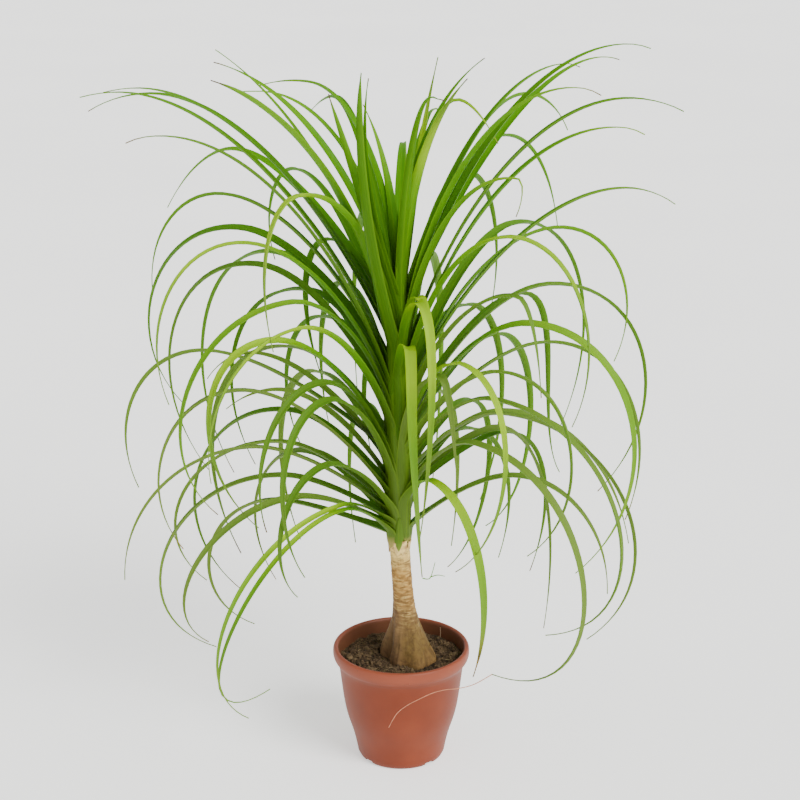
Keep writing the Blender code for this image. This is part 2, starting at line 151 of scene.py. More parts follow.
def new_material(name: str) -> tuple[bpy.types.Material, bpy.types.Node, Maker,
                                     bpy.types.NodeSocket]:
    """Make a node material.

    Args:
        name: the material's name.

    Returns:
        The material, its Principled shader, the maker of its nodes and its Object coordinates.
    """
    material = bpy.data.materials.new(name)
    material.use_nodes = True
    node = partial(add_node, material.node_tree)
    where = node("ShaderNodeTexCoord").outputs["Object"]
    return material, material.node_tree.nodes["Principled BSDF"], node, where


def place(obj: bpy.types.Object, record_slot: str, *nodes: str) -> None:
    """Ride a finished piece on the plant's body, and hide the nodes it stands for.

    Args:
        obj: the piece.
        record_slot: the slot its material goes by; not used.
        nodes: the nodes it stands for.
    """
    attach(obj, BODY)
    if nodes:
        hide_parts(*nodes)
    log.info("%s: %d faces", obj.name, len(obj.data.polygons))


def new_object(name: str, mesh: bpy.types.Mesh) -> bpy.types.Object:
    """Link a mesh to the scene as an object.

    Args:
        name: the object's name.
        mesh: the mesh.

    Returns:
        The object.
    """
    obj = bpy.data.objects.new(name, mesh)
    bpy.context.scene.collection.objects.link(obj)
    return obj


def shade(mesh: bpy.types.Mesh, angle: float = 180.0) -> None:
    """Smooth a mesh, but for its sharper edges.

    Args:
        mesh: the mesh.
        angle: the steepest edge that is smoothed, in degrees.
    """
    mesh.shade_smooth()
    if angle < 180.0:
        mesh.set_sharp_from_angle(angle=math.radians(angle))


def mark(mesh: bpy.types.Mesh, name: str, values: Any) -> None:
    """Keep a named number on each of a mesh's points."""
    mesh.attributes.new(name, "FLOAT", "POINT").data.foreach_set("value", values)


def apply_modifiers(obj: bpy.types.Object) -> None:
    """Bake an object's modifiers into a plain mesh of its own.

    Args:
        obj: the object.
    """
    evaluated = obj.evaluated_get(bpy.context.evaluated_depsgraph_get())
    mesh = bpy.data.meshes.new_from_object(evaluated)
    obj.modifiers.clear()
    obj.data = mesh


def lofted_mesh(name: str, rings: np.ndarray) -> bpy.types.Mesh:
    """Skin closed rings of points into a closed mesh with a point at each end.

    Args:
        name: the mesh's name.
        rings: ring by point by (x, y, z), each ring counterclockwise seen from the last ring.

    Returns:
        The mesh.
    """
    count, sides, _ = rings.shape
    points = [*map(tuple, rings.reshape(-1, 3)), tuple(rings[0].mean(0)), tuple(rings[-1].mean(0))]
    first, last = count * sides, count * sides + 1
    top = first - sides
    pairs = [(j, (j + 1) % sides) for j in range(sides)]
    faces = [(i + j, i + k, i + sides + k, i + sides + j)
             for i in range(0, top, sides) for j, k in pairs]
    for j, k in pairs:
        faces.extend(((k, j, first), (top + j, top + k, last)))
    mesh = bpy.data.meshes.new(name)
    mesh.from_pydata(points, [], faces)
    return mesh


def tube(name: str, spine: list[Vector], radii: list[float], sides: int,
         across: tuple[Vector, Vector]) -> bpy.types.Object:
    """Skin a thin tube along points.

    Args:
        name: the object's name.
        spine: the points.
        radii: the tube's radius at each point.
        sides: sides of its section.
        across: the two directions that every section lies in.

    Returns:
        The tube.
    """
    turns = [2.0 * math.pi * j / sides for j in range(sides)]
    around = [across[0] * math.cos(turn) + across[1] * math.sin(turn) for turn in turns]
    rings = [[spot + way * radius for way in around] for spot, radius in zip(spine, radii)]
    return new_object(name, lofted_mesh(name, np.array(rings)))


def spline_points(corners: list[tuple], steps: int) -> list[tuple]:
    """Points on a smooth curve through corner points.

    Args:
        corners: the points it passes through, of two or three numbers each.
        steps: pieces between two corners.

    Returns:
        The curve's points, both ends included.
    """
    ends = [corners[0], *corners, corners[-1]]
    points = []
    for window in zip(ends, ends[1:], ends[2:], ends[3:]):
        for i in range(steps):
            t = i / steps
            points.append(tuple(
                0.5 * (2.0 * b + (c - a) * t + (2.0 * a - 5.0 * b + 4.0 * c - d) * t * t
                       + (3.0 * b - a - 3.0 * c + d) * t ** 3) for a, b, c, d in zip(*window)))
    points.append(corners[-1])
    return points


def thread_line(corners: tuple[Point3, ...], steps: int, half_width: float, taper: float,
                **attributes: float) -> Line:
    """A thread through corner points, which thins towards its end and faces the front.

    Args:
        corners: the points it passes through.
        steps: pieces between two corners.
        half_width: half its width where it starts.
        taper: the share of its width that is lost by its end.
        attributes: the attributes that stay the same along it.

    Returns:
        The thread, from its first corner.
    """
    points = spline_points(list(corners), steps)
    return [{"position": point, "face_up": (0.0, -1.0, 0.0),
             "half_width": half_width * (1.0 - taper * i / len(points)), **attributes}
            for i, point in enumerate(points)]


def geometry_tree(name: str, sockets: dict[str, str]) -> tuple[bpy.types.NodeTree, Maker, Any]:
    """Start a Geometry Nodes tree with a geometry input and the named inputs.

    Args:
        name: the tree's name.
        sockets: name of each input after the geometry to its type, such as "Float".

    Returns:
        The tree, the maker of its nodes and its inputs by name.
    """
    tree = bpy.data.node_groups.new(name, "GeometryNodeTree")
    for label, kind in {"Geometry": "Geometry", **sockets}.items():
        tree.interface.new_socket(label, in_out="INPUT", socket_type=f"NodeSocket{kind}")
    tree.interface.new_socket("Geometry", in_out="OUTPUT", socket_type="NodeSocketGeometry")
    node = partial(add_node, tree)
    return tree, node, node("NodeGroupInput").outputs


def close_tree(node: Maker, geometry: bpy.types.Node, given: Any) -> None:
    """End a Geometry Nodes tree: make the copies real, then give them their material.

    Args:
        node: the maker of the tree's nodes.
        geometry: the node with the finished geometry.
        given: the tree's inputs by name.
    """
    real = node("GeometryNodeRealizeInstances", {"Geometry": geometry})
    dressed = node("GeometryNodeSetMaterial", {"Geometry": real, "Material": given["Material"]})
    node("NodeGroupOutput", {0: dressed})


def run_tree(obj: bpy.types.Object, tree: bpy.types.NodeTree, values: dict[str, Any]) -> None:
    """Run a Geometry Nodes tree on an object and keep the result as its plain mesh.

    Args:
        obj: the object whose mesh goes in.
        tree: the tree.
        values: named input to its value.
    """
    modifier = obj.modifiers.new(tree.name, "NODES")
    modifier.node_group = tree
    for item in tree.interface.items_tree:
        if item.in_out == "INPUT" and item.name in values:
            modifier[item.identifier] = values[item.name]
    apply_modifiers(obj)
    bpy.data.node_groups.remove(tree)


def line_object(name: str, lines: list[Line]) -> bpy.types.Object:
    """Make an object of edge lines whose points carry attributes.

    Args:
        name: the object's name.
        lines: the lines; "face_up" is a vector, the other attributes are numbers, and one that a
            point lacks is 0 there.

    Returns:
        The object.
    """
    points = [point for line in lines for point in line]
    ends = set(np.cumsum([len(line) for line in lines]))
    edges = [(i - 1, i) for i in range(1, len(points)) if i not in ends]
    mesh = bpy.data.meshes.new(name)
    mesh.from_pydata([point["position"] for point in points], edges, [])
    for key in sorted(lines[0][0].keys() - {"position", "face_up"}):
        mark(mesh, key, [point.get(key, 0.0) for point in points])
    facing = mesh.attributes.new("face_up", "FLOAT_VECTOR", "POINT").data
    facing.foreach_set("vector", np.array([point["face_up"] for point in points]).ravel())
    return new_object(name, mesh)


def sweep_tree(name: str) -> bpy.types.NodeTree:
    """Geometry Nodes that sweep a closed, folded section along lines.

    Each point of a line gives its half width, the way its upper face looks and how far it is
    rolled up. The section keeps its place across the strip and its side in two attributes.

    Args:
        name: the tree's name.

    Returns:
        The tree.
    """
    tree, node, given = geometry_tree(name, {
        "Section Points": "Int", "Fold": "Float", "Thickness": "Float", "Rolled Fold": "Float",
        "Rolled Thickness": "Float", "Material": "Material"})
    face_up, width, rolled, across, side = (
        node("GeometryNodeInputNamedAttribute", {"Name": label},
             data_type="FLOAT_VECTOR" if label == "face_up" else "FLOAT")
        for label in ("face_up", "half_width", "rolled", "across", "side"))
    curves = node("GeometryNodeMeshToCurve", {"Mesh": given["Geometry"]})
    turned = node("GeometryNodeSetCurveNormal", {"Curve": curves, "Normal": face_up}, mode="FREE")
    section = node("GeometryNodeCurvePrimitiveCircle",
                   {"Resolution": given["Section Points"], "Radius": 1.0})
    spot = node("ShaderNodeSeparateXYZ", {0: node("GeometryNodeInputPosition")}).outputs
    for label, axis in (("across", "Y"), ("side", "X")):
        section = node("GeometryNodeStoreNamedAttribute",
                       {"Geometry": section, "Name": label, "Value": spot[axis]},
                       data_type="FLOAT")
    away = node("ShaderNodeMath", {0: spot["Y"]}, operation="ABSOLUTE")
    valley = node("ShaderNodeMath", {0: away, 1: FOLD_POWER}, operation="POWER")
    fold = node("ShaderNodeMath", {0: valley, 1: given["Fold"]}, operation="MULTIPLY")
    depth = node("ShaderNodeMath", {0: spot["X"], 1: given["Thickness"], 2: fold},
                 operation="MULTIPLY_ADD")
    shaped = node("ShaderNodeCombineXYZ", {"X": depth, "Y": spot["Y"]})
    section = node("GeometryNodeSetPosition", {"Geometry": section, "Position": shaped})
    strips = node("GeometryNodeCurveToMesh", {"Curve": turned, "Profile Curve": section,
                                              "Scale": width, "Fill Caps": True})
    # where a strip is rolled, its edges and both its faces move further off its middle
    away = node("ShaderNodeMath", {0: across}, operation="ABSOLUTE")
    lift = node("ShaderNodeMath", {0: away, 1: given["Rolled Fold"]}, operation="MULTIPLY")
    lift = node("ShaderNodeMath", {0: side, 1: given["Rolled Thickness"], 2: lift},
                operation="MULTIPLY_ADD")
    for share in (rolled, width):
        lift = node("ShaderNodeMath", {0: lift, 1: share}, operation="MULTIPLY")
    offset = node("ShaderNodeVectorMath", {0: face_up, "Scale": lift}, operation="SCALE")
    close_tree(node, node("GeometryNodeSetPosition", {"Geometry": strips, "Offset": offset}),
               given)
    return tree


def sweep(name: str, lines: list[Line], section: tuple[int, float, float, float, float],
          material: bpy.types.Material, angle: float) -> bpy.types.Object:
    """Sweep strips along lines.

    Args:
        name: the new object's name.
        lines: the lines.
        section: the strip's points round, fold, thickness, rolled fold and rolled thickness.
        material: its material.
        angle: the steepest edge that is smoothed, in degrees.

    Returns:
        The strips, as one plain mesh.
    """
    strips = line_object(name, lines)
    labels = ("Section Points", "Fold", "Thickness", "Rolled Fold", "Rolled Thickness")
    run_tree(strips, sweep_tree(f"{name}_sweep"), {**dict(zip(labels, section)),
                                                   "Material": material})
    shade(strips.data, angle)
    return strips


# ---------------------------------------------------------------------------- finishes


@dataclass(frozen=True)
class MouldedPolypropylene:
    """Terracotta-coloured polypropylene, injection moulded: an even colour with a soft sheen."""
    body: str = "#733119"
    paler: str = "#7A361D"
    darker: str = "#6C2D16"
    # the lip's painted highlight
    lip_highlight: str = "#97523D"
    # dust, and the painted shade inside the lip
    dust_and_shade: str = "#553C28"
    roughness: float = 0.46
    roughness_spread: float = 0.04
    lip_height: float = 0.108
    shaded_inside_radius: float = 0.065    # the inside of the lip, above the soil, is tinted with soil dust and painted shade
    shaded_inside_height: float = 0.1035
    flow_mm: float = 34.0
    dust_mm: float = 2.4
    grain_mm: float = 0.9         # a moulded grain is finer, and is drawn this coarse to show

    def material(self) -> bpy.types.Material:
        """Build the material: faint flow shades, a painted lip highlight, dust with painted shade,
        a fine grain.

        Returns:
            The material.
        """
        material, shader, node, where = new_material("moulded_polypropylene")
        flow, specks, grain = (node("ShaderNodeTexNoise", dict(zip(NOISE, row))) for row in (
            (where, 1000.0 / self.flow_mm, 2.0, 0.5), (where, 1000.0 / self.dust_mm, 4.0, 0.65),
            (where, 1000.0 / self.grain_mm, 2.0, 0.5)))
        color = node("ShaderNodeValToRGB", {"Fac": flow},
                     stops=((0.25, self.darker), (0.50, self.body), (0.75, self.paler)))
        split = node("ShaderNodeSeparateXYZ", {0: where}).outputs
        flat = node("ShaderNodeCombineXYZ", {"X": split["X"], "Y": split["Y"]})
        reach = node("ShaderNodeVectorMath", {0: flat}, operation="LENGTH").outputs["Value"]
        lip, dust_and_shade_share, inside, above, rough = (
            node("ShaderNodeMapRange", dict(zip(RANGE, row))) for row in (
                (split["Z"], self.lip_height - 0.004, self.lip_height + 0.004, 0.0, 0.45),
                (specks, 0.60, 0.80, 0.0, 0.6),
                (reach, self.shaded_inside_radius + 0.001, self.shaded_inside_radius - 0.001, 0.0, 1.0),
                (split["Z"], self.shaded_inside_height - 0.0015, self.shaded_inside_height + 0.0015, 0.0, 0.75),
                (flow, 0.0, 1.0, self.roughness - self.roughness_spread,
                 self.roughness + 2.0 * self.roughness_spread)))
        # dust and painted shade lie inside the lip, and dust in specks all over
        inside = node("ShaderNodeMath", {0: inside, 1: above}, operation="MULTIPLY")
        dust_and_shade_share = node("ShaderNodeMath", {0: dust_and_shade_share, 1: inside}, operation="MAXIMUM")
        # the lip is painted paler as a highlight, then dust and painted shade are laid on
        for share, tint in ((lip, self.lip_highlight), (dust_and_shade_share, self.dust_and_shade)):
            color = node("ShaderNodeMix", {0: share, 6: color, 7: linear(tint)},
                         data_type="RGBA")
        bump = node("ShaderNodeBump", {"Height": grain, "Strength": 0.08, "Distance": 0.0002})
        feed(shader, {"Base Color": color, "Roughness": rough, "Normal": bump, "IOR": 1.49,
                      "Specular IOR Level": 0.22})
        return material


@dataclass(frozen=True)
class PeatSoil:
    """Moist peat with composted bark: dark crumbs, paler bits and near-black painted shade for
    hollows.
    """
    crumb: str = "#493826"
    paler: str = "#7C6749"
    hollow_shade: str = "#1C140B"
    clod_mm: float = 9.0
    grit_mm: float = 1.6

    def material(self, name: str = "peat_soil", lift: float = 0.0) -> bpy.types.Material:
        """Build the material.

        Args:
            name: the material's name.
            lift: how far the colours move to the paler end, from 0 to 1.

        Returns:
            The material.
        """
        material, shader, node, where = new_material(name)
        clods, grit = (node("ShaderNodeTexNoise", dict(zip(NOISE, row))) for row in (
            (where, 1000.0 / self.clod_mm, 5.0, 0.62), (where, 1000.0 / self.grit_mm, 3.0, 0.5)))
        mixed = node("ShaderNodeMath", {0: clods, 1: 0.62, 2: lift - 0.04},
                     operation="MULTIPLY_ADD")
        mixed = node("ShaderNodeMath", {0: grit, 1: 0.45, 2: mixed}, operation="MULTIPLY_ADD")
        # painted shade: the lowest noise is near-black, standing in for the shade in hollows
        color = node("ShaderNodeValToRGB", {"Fac": mixed},
                     stops=((0.36, self.hollow_shade), (0.53, self.crumb), (0.76, self.paler)))
        bump = node("ShaderNodeBump", {"Height": grit, "Strength": 0.6, "Distance": 0.0008})
        feed(shader, {"Base Color": color, "Normal": bump, "Roughness": 0.92,
                      "Specular IOR Level": 0.25})
        return material


@dataclass(frozen=True)
class RingedBark:
    """Corky bark: tan between leaf-scar rings above, olive-brown and fissured below."""
    cream: str = "#E2C273"
    tan: str = "#A47B3C"
    brown: str = "#7C5E33"
    olive: str = "#71592A"
    # the painted colour of the left side, as a face in shade
    purple: str = "#80614A"
    # dark bark for mottle, and painted shade in grooves and folds
    dark_bark_and_shade: str = "#3C2917"
    base_height: float = 0.1065
    top_height: float = 0.235
    ring_mm: float = 2.7          # a leaf scar's height, and how far it runs round
    ring_length_mm: float = 40.0 / 3.0
    fissure_mm: float = 2.6
    fissure_length_mm: float = 1000.0 / 28.0
    patch_mm: float = 1000.0 / 110.0
    mottle_mm: float = 4.6

    def material(self) -> bpy.types.Material:
        """Build the material: colour by height and a painted shaded side, rings above and fissures
        below.

        Returns:
            The material.
        """
        material, shader, node, where = new_material("ringed_bark")
        split = node("ShaderNodeSeparateXYZ", {0: where}).outputs
        # noise squeezed along the height breaks into flaked leaf-scar rings
        squeezed = node("ShaderNodeMapping", {
            "Vector": where, "Scale": (1000.0 / self.ring_length_mm, 1000.0 / self.ring_length_mm,
                                       1000.0 / self.ring_mm)})
        # noise stretched along the height runs into fissures
        stretched = node("ShaderNodeMapping", {
            "Vector": where, "Scale": (1000.0 / self.fissure_mm, 1000.0 / self.fissure_mm,
                                       1000.0 / self.fissure_length_mm)})
        patches, rings, lines, mottle = (
            node("ShaderNodeTexNoise", dict(zip(NOISE, row))) for row in (
                (where, 1000.0 / self.patch_mm, 4.0, 0.60), (squeezed, 1.0, 5.0, 0.58, 0.6),
                (stretched, 1.0, 4.0, 0.60), (where, 1000.0 / self.mottle_mm, 3.0, 0.60)))
        height = node("ShaderNodeMapRange",
                      dict(zip(RANGE, (split["Z"], self.base_height, self.top_height))))
        uneven = node("ShaderNodeMath", {0: patches, 1: 0.34, 2: -0.17}, operation="MULTIPLY_ADD")
        uneven = node("ShaderNodeMath", {0: uneven, 1: height}, operation="ADD")
        color = node("ShaderNodeValToRGB", {"Fac": uneven}, stops=(
            (0.02, self.brown), (0.16, self.olive), (0.40, self.brown), (0.60, self.tan),
            (0.76, self.tan), (0.92, self.cream)))
        side = node("ShaderNodeMath", {0: patches, 1: 0.010, 2: split["X"]},
                    operation="MULTIPLY_ADD")
        scar, flake, fissure, above, side, below, mottle = (
            node("ShaderNodeMapRange", dict(zip(RANGE, row))) for row in (
                (rings, 0.34, 0.50), (rings, 0.50, 0.68), (lines, 0.26, 0.56, 0.15),
                (height, 0.22, 0.42), (side, 0.012, -0.001), (height, 0.75, 0.30, 0.0, 0.42),
                (mottle, 0.52, 0.36, 0.0, 0.38)))
        # painted shade: ring gaps and fissures are darkened by their depth
        relief = node("ShaderNodeMix", {0: above, 2: fissure, 3: scar})
        depth = node("ShaderNodeMapRange", {"Value": relief, "To Min": 0.62, "To Max": 0.0})
        # the ring flakes are painted cream: partly pale cork, partly a painted highlight on their
        # edges
        paling = node("ShaderNodeMath", {0: flake, 1: above}, operation="MULTIPLY")
        paling = node("ShaderNodeMath", {0: paling, 1: 0.50}, operation="MULTIPLY")
        # painted light and shade: the swollen base's left side is purple-brown as if shaded, yet
        # paler
        shaded_side_tint = node("ShaderNodeMath", {0: side, 1: below}, operation="MULTIPLY")
        # painted shade in the folds of the swollen base
        crease = node("ShaderNodeAttribute", attribute_name="crease").outputs["Fac"]
        for share, tint in ((paling, self.cream), (depth, self.dark_bark_and_shade), (shaded_side_tint, self.purple),
                            (mottle, self.dark_bark_and_shade), (crease, self.dark_bark_and_shade)):
            color = node("ShaderNodeMix", {0: share, 6: color, 7: linear(tint)},
                         data_type="RGBA")
        grain = node("ShaderNodeMath", {0: lines, 1: 0.35, 2: relief}, operation="MULTIPLY_ADD")
        bump = node("ShaderNodeBump", {"Height": grain, "Strength": 0.5, "Distance": 0.0006})
        feed(shader, {"Base Color": color, "Normal": bump, "Roughness": 0.80,
                      "Specular IOR Level": 0.3})
        return material


@dataclass(frozen=True)
class LeafSkin:
    """Living strap leaf: leathery and waxy, thin enough to glow, finely veined along its length."""
    deep: str = "#3C6E00"
    olive: str = "#4A7D00"
    fresh: str = "#599800"
    bright: str = "#76AE00"
    lime: str = "#97C000"
    pale: str = "#AED012"
    underside: str = "#709A10"
    # tint of age, also painted light on the lower, shaded leaves
    aged: str = "#82864C"
    blanched: str = "#C9B368"
    rib: str = "#94BE14"
    glow: str = "#7AC800"
    straw: str = "#9C7C3E"
    brown: str = "#5E3220"
    veins: int = 9                # real veins are finer, and are drawn this coarse to show
    cloud_mm: float = 1000.0 / 26.0

    def material(self) -> bpy.types.Material:
        """Build the material from the blade's own attributes.

        Returns:
            The material.
        """
        material, shader, node, where = new_material("leaf_skin")
        tone, across, side, aged, foot, withered = (
            node("ShaderNodeAttribute", attribute_name=name).outputs["Fac"]
            for name in ("tone", "across", "side", "aged", "blanched", "withered"))
        cloud = node("ShaderNodeTexNoise", {"Vector": where, "Scale": 1000.0 / self.cloud_mm,
                                            "Detail": 3.0})
        varied = node("ShaderNodeMath", {0: cloud, 1: 0.24, 2: -0.12}, operation="MULTIPLY_ADD")
        varied = node("ShaderNodeMath", {0: varied, 1: tone}, operation="ADD")
        color = node("ShaderNodeValToRGB", {"Fac": varied}, stops=(
            (0.0, self.deep), (0.28, self.olive), (0.52, self.fresh), (0.74, self.bright),
            (0.90, self.lime), (1.0, self.pale)))
        ridge = node("ShaderNodeMath", {0: across, 1: math.pi * self.veins}, operation="MULTIPLY")
        ridge = node("ShaderNodeMath", {0: ridge}, operation="SINE")
        streak = node("ShaderNodeMath", {0: ridge, 1: 0.05, 2: 0.05}, operation="MULTIPLY_ADD")
        away = node("ShaderNodeMath", {0: across}, operation="ABSOLUTE")
        # a clasping base pales towards its foot, in streaks
        for pattern, strength in ((cloud, 0.5), (ridge, 0.06)):
            foot = node("ShaderNodeMath", {0: pattern, 1: strength, 2: foot},
                        operation="MULTIPLY_ADD")
        under, middle, margin, foot = (
            node("ShaderNodeMapRange", dict(zip(RANGE, row))) for row in (
                (side, 0.0, -0.2, 0.0, 0.15), (away, 0.16, 0.04, 0.0, 0.20),
                (away, 0.84, 0.97, 0.0, 0.30), (foot, 0.50, 1.15, 0.0, 0.9)))
        for share, tint in ((aged, self.aged), (under, self.underside), (streak, self.rib),
                            (middle, self.rib), (margin, self.rib), (foot, self.blanched)):
            color = node("ShaderNodeMix", {0: share, 6: color, 7: linear(tint)},
                         data_type="RGBA")
        dead = node("ShaderNodeValToRGB", {"Fac": cloud},
                    stops=((0.44, self.brown), (0.62, self.straw)))
        color = node("ShaderNodeMix", {0: withered, 6: color, 7: dead}, data_type="RGBA")
        bump = node("ShaderNodeBump", {"Height": ridge, "Strength": 0.2, "Distance": 0.0002})
        feed(shader, {"Base Color": color, "Normal": bump, "Roughness": 0.45,
                      "Specular IOR Level": 0.14})
        through = node("ShaderNodeMix", {0: 0.45, 6: color, 7: linear(self.glow)},
                       data_type="RGBA")
        lit = node("ShaderNodeBsdfTranslucent", {"Color": through})
        leafy = node("ShaderNodeMixShader", {0: 0.46, 1: shader, 2: lit})
        feed(material.node_tree.nodes["Material Output"], {"Surface": leafy})
        return material


@dataclass(frozen=True)
class DryFibre:
    """Dead leaf fibre, bleached to straw: dull, pale and unevenly streaked."""
    pale: str = "#C4805F"
    darker: str = "#A86A4B"
    streak_mm: float = 6.0

    def material(self, name: str = "dry_fibre") -> bpy.types.Material:
        """Build the material.

        Args:
            name: the material's name.

        Returns:
            The material.
        """
        material, shader, node, where = new_material(name)
        streaks = node("ShaderNodeTexNoise", {"Vector": where, "Scale": 1000.0 / self.streak_mm})
        color = node("ShaderNodeValToRGB", {"Fac": streaks},
                     stops=((0.35, self.darker), (0.60, self.pale)))
        feed(shader, {"Base Color": color, "Roughness": 0.7})
        return material


@dataclass(frozen=True)
class StudioPaper:
    """Seamless white background paper: matt, with hardly any grain, and lit by lamps of its own."""
    white: str = "#EFEFED"
    shade: str = "#EBEBE9"
    cloud_mm: float = 1000.0 / 1.5
    lamps: float = 0.9            # what the paper's own lamps add, over a white surface in the sun

    def material(self) -> bpy.types.Material:
        """Build the material: near white, very slightly uneven.

        Returns:
            The material.
        """
        material, shader, node, where = new_material("studio_paper")
        cloud = node("ShaderNodeTexNoise", {"Vector": where, "Scale": 1000.0 / self.cloud_mm})
        color = node("ShaderNodeValToRGB", {"Fac": cloud},
                     stops=((0.3, self.shade), (0.7, self.white)))
        feed(shader, {"Base Color": color, "Emission Color": color,
                      "Emission Strength": self.lamps, "Roughness": 0.9})
        return material


# ---------------------------------------------------------------------------- pot


@dataclass
class NurseryPot:
    """A nursery pot with a rolled lip, a waisted foot, a flat base and drain notches."""
    finish: MouldedPolypropylene
    height: float
    rim_radius: float
    foot_radius: float = 0.0442
    wall: float = 0.0020
    base_thickness: float = 0.0025
    lip_drop: float = 0.0120      # from the crest to where the lip's outer face ends
    lip_inner_radius: float = 0.0634
    neck_height: float = 0.0975
    drains: int = 4
    drain_azimuth: float = 41.0
    drain_width: float = 0.015
    drain_height: float = 0.0038
    drain_reach: float = 0.033
    drain_corner: float = 0.0024
    waist_height: float = 0.0375  # where the foot's steeper wall gives way to the body's
    waist_ease: float = 0.0085
    pip_azimuth: float = 276.6    # the moulding pip under the lip
    pip_radius: float = 0.0012
    sides: int = 176

    def wall_radius(self, height: float) -> float:
        """Outer radius of the wall: a tapering body that draws in to a waisted foot.

        Args:
            height: a height above the base.

        Returns:
            The radius.
        """
        body = 0.0518 + 0.120 * height
        waist = self.foot_radius + 0.16 * height
        share = 1.0 / (1.0 + math.exp(-(height - self.waist_height) / self.waist_ease))
        return waist + (body - waist) * share

    def profile(self) -> list[Point2]:
        """Outline of the pot's section, down its outside, across its base and up its inside.

        Returns:
            Radius and height of each point.
        """
        top, rim = self.height, self.rim_radius
        inner = self.lip_inner_radius
        lip = [(inner, top - self.lip_drop), (inner + 0.0005, top - 0.0060),
               (inner + 0.0010, top - 0.0022), (rim - 0.0045, top - 0.0004),
               (rim - 0.0030, top), (rim - 0.0013, top - 0.0006), (rim - 0.0003, top - 0.0026),
               (rim, top - 0.0060), (rim - 0.0004, top - 0.0095), (rim - 0.0016, top - 0.0125),
               (rim - 0.0036, top - 0.0152), (rim - 0.0054, top - 0.0190),
               (self.wall_radius(self.neck_height) + 0.0001, self.neck_height)]
        outer = [(self.wall_radius(z), z) for z in np.linspace(0.094, 0.0045, 30)]
        toe = [(self.foot_radius - 0.0001, 0.0026), (self.foot_radius - 0.0010, 0.0009),
               (self.foot_radius - 0.0026, 0.0)]
        inside = [(radius - self.wall, z) for radius, z in reversed(outer)]
        floor = [(0.0, 0.0), (0.0, self.base_thickness),
                 (inside[0][0] - 0.0035, self.base_thickness),
                 (inside[0][0] - 0.0008, self.base_thickness + 0.0008)]
        neck = [(self.wall_radius(self.neck_height) - self.wall, self.neck_height)]
        return [*spline_points(lip, 4), *outer, *toe, *floor, *inside, *neck]

    def combine(self, pot: bpy.types.Object, block: bmesh.types.BMesh, operation: str) -> None:
        """Cut a block from the pot or fuse it on, and clear the block away.

        Args:
            pot: the pot.
            block: what is cut away or fused on.
            operation: "DIFFERENCE" or "UNION".
        """
        mesh = bpy.data.meshes.new("block")
        block.to_mesh(mesh)
        block.free()
        other = new_object("block", mesh)
        step = pot.modifiers.new("block", "BOOLEAN")
        step.object = other
        step.operation = operation
        apply_modifiers(pot)
        bpy.data.objects.remove(other, do_unlink=True)

    def cut_drains(self, pot: bpy.types.Object) -> None:
        """Cut the drain notches through the bottom edge, each with rounded corners.

        Args:
            pot: the pot.
        """
        length = 2.0 * (self.foot_radius + 0.006 - self.drain_reach)
        middle = self.drain_reach + length / 2.0
        for i in range(self.drains):
            angle = math.radians(self.drain_azimuth + 360.0 / self.drains * i)
            block = bmesh.new()
            size = Matrix.Diagonal((length, self.drain_width, 2.0 * self.drain_height, 1.0))
            bmesh.ops.create_cube(block, size=1.0, matrix=size)
            bmesh.ops.bevel(block, geom=block.edges[:], offset=self.drain_corner, segments=4,
                            affect="EDGES")
            turn = Matrix.Rotation(angle, 4, "Z") @ Matrix.Translation((middle, 0.0, 0.0))
            bmesh.ops.transform(block, matrix=turn, verts=block.verts)
            self.combine(pot, block, "DIFFERENCE")

    def add_pip(self, pot: bpy.types.Object) -> None:
        """Fuse on the moulding pip, a blunt dot on the lip's lower edge.

        Args:
            pot: the pot.
        """
        angle = math.radians(self.pip_azimuth)
        reach = self.rim_radius - 0.0013
        spot = (reach * math.cos(angle), reach * math.sin(angle), self.height - 0.0106)
        block = bmesh.new()
        bmesh.ops.create_uvsphere(block, u_segments=12, v_segments=8, radius=self.pip_radius,
                                  matrix=Matrix.Translation(spot))
        self.combine(pot, block, "UNION")

    def build(self) -> None:
        """Turn the profile, cut the notches, add the pip and dress the pot."""
        points = self.profile()
        mesh = bpy.data.meshes.new("nursery_pot")
        edges = [(i, (i + 1) % len(points)) for i in range(len(points))]
        mesh.from_pydata([(radius, 0.0, z) for radius, z in points], edges, [])
        pot = new_object("nursery_pot", mesh)
        screw = pot.modifiers.new("turn", "SCREW")
        screw.steps = screw.render_steps = self.sides
        screw.use_merge_vertices = True
        screw.merge_threshold = 0.00002
        apply_modifiers(pot)
        self.cut_drains(pot)
        self.add_pip(pot)
        pot.data.materials.clear()
        pot.data.materials.append(self.finish.material())
        shade(pot.data, 38.0)
        place(pot, "pot", "pot")


# ---------------------------------------------------------------------------- trunk


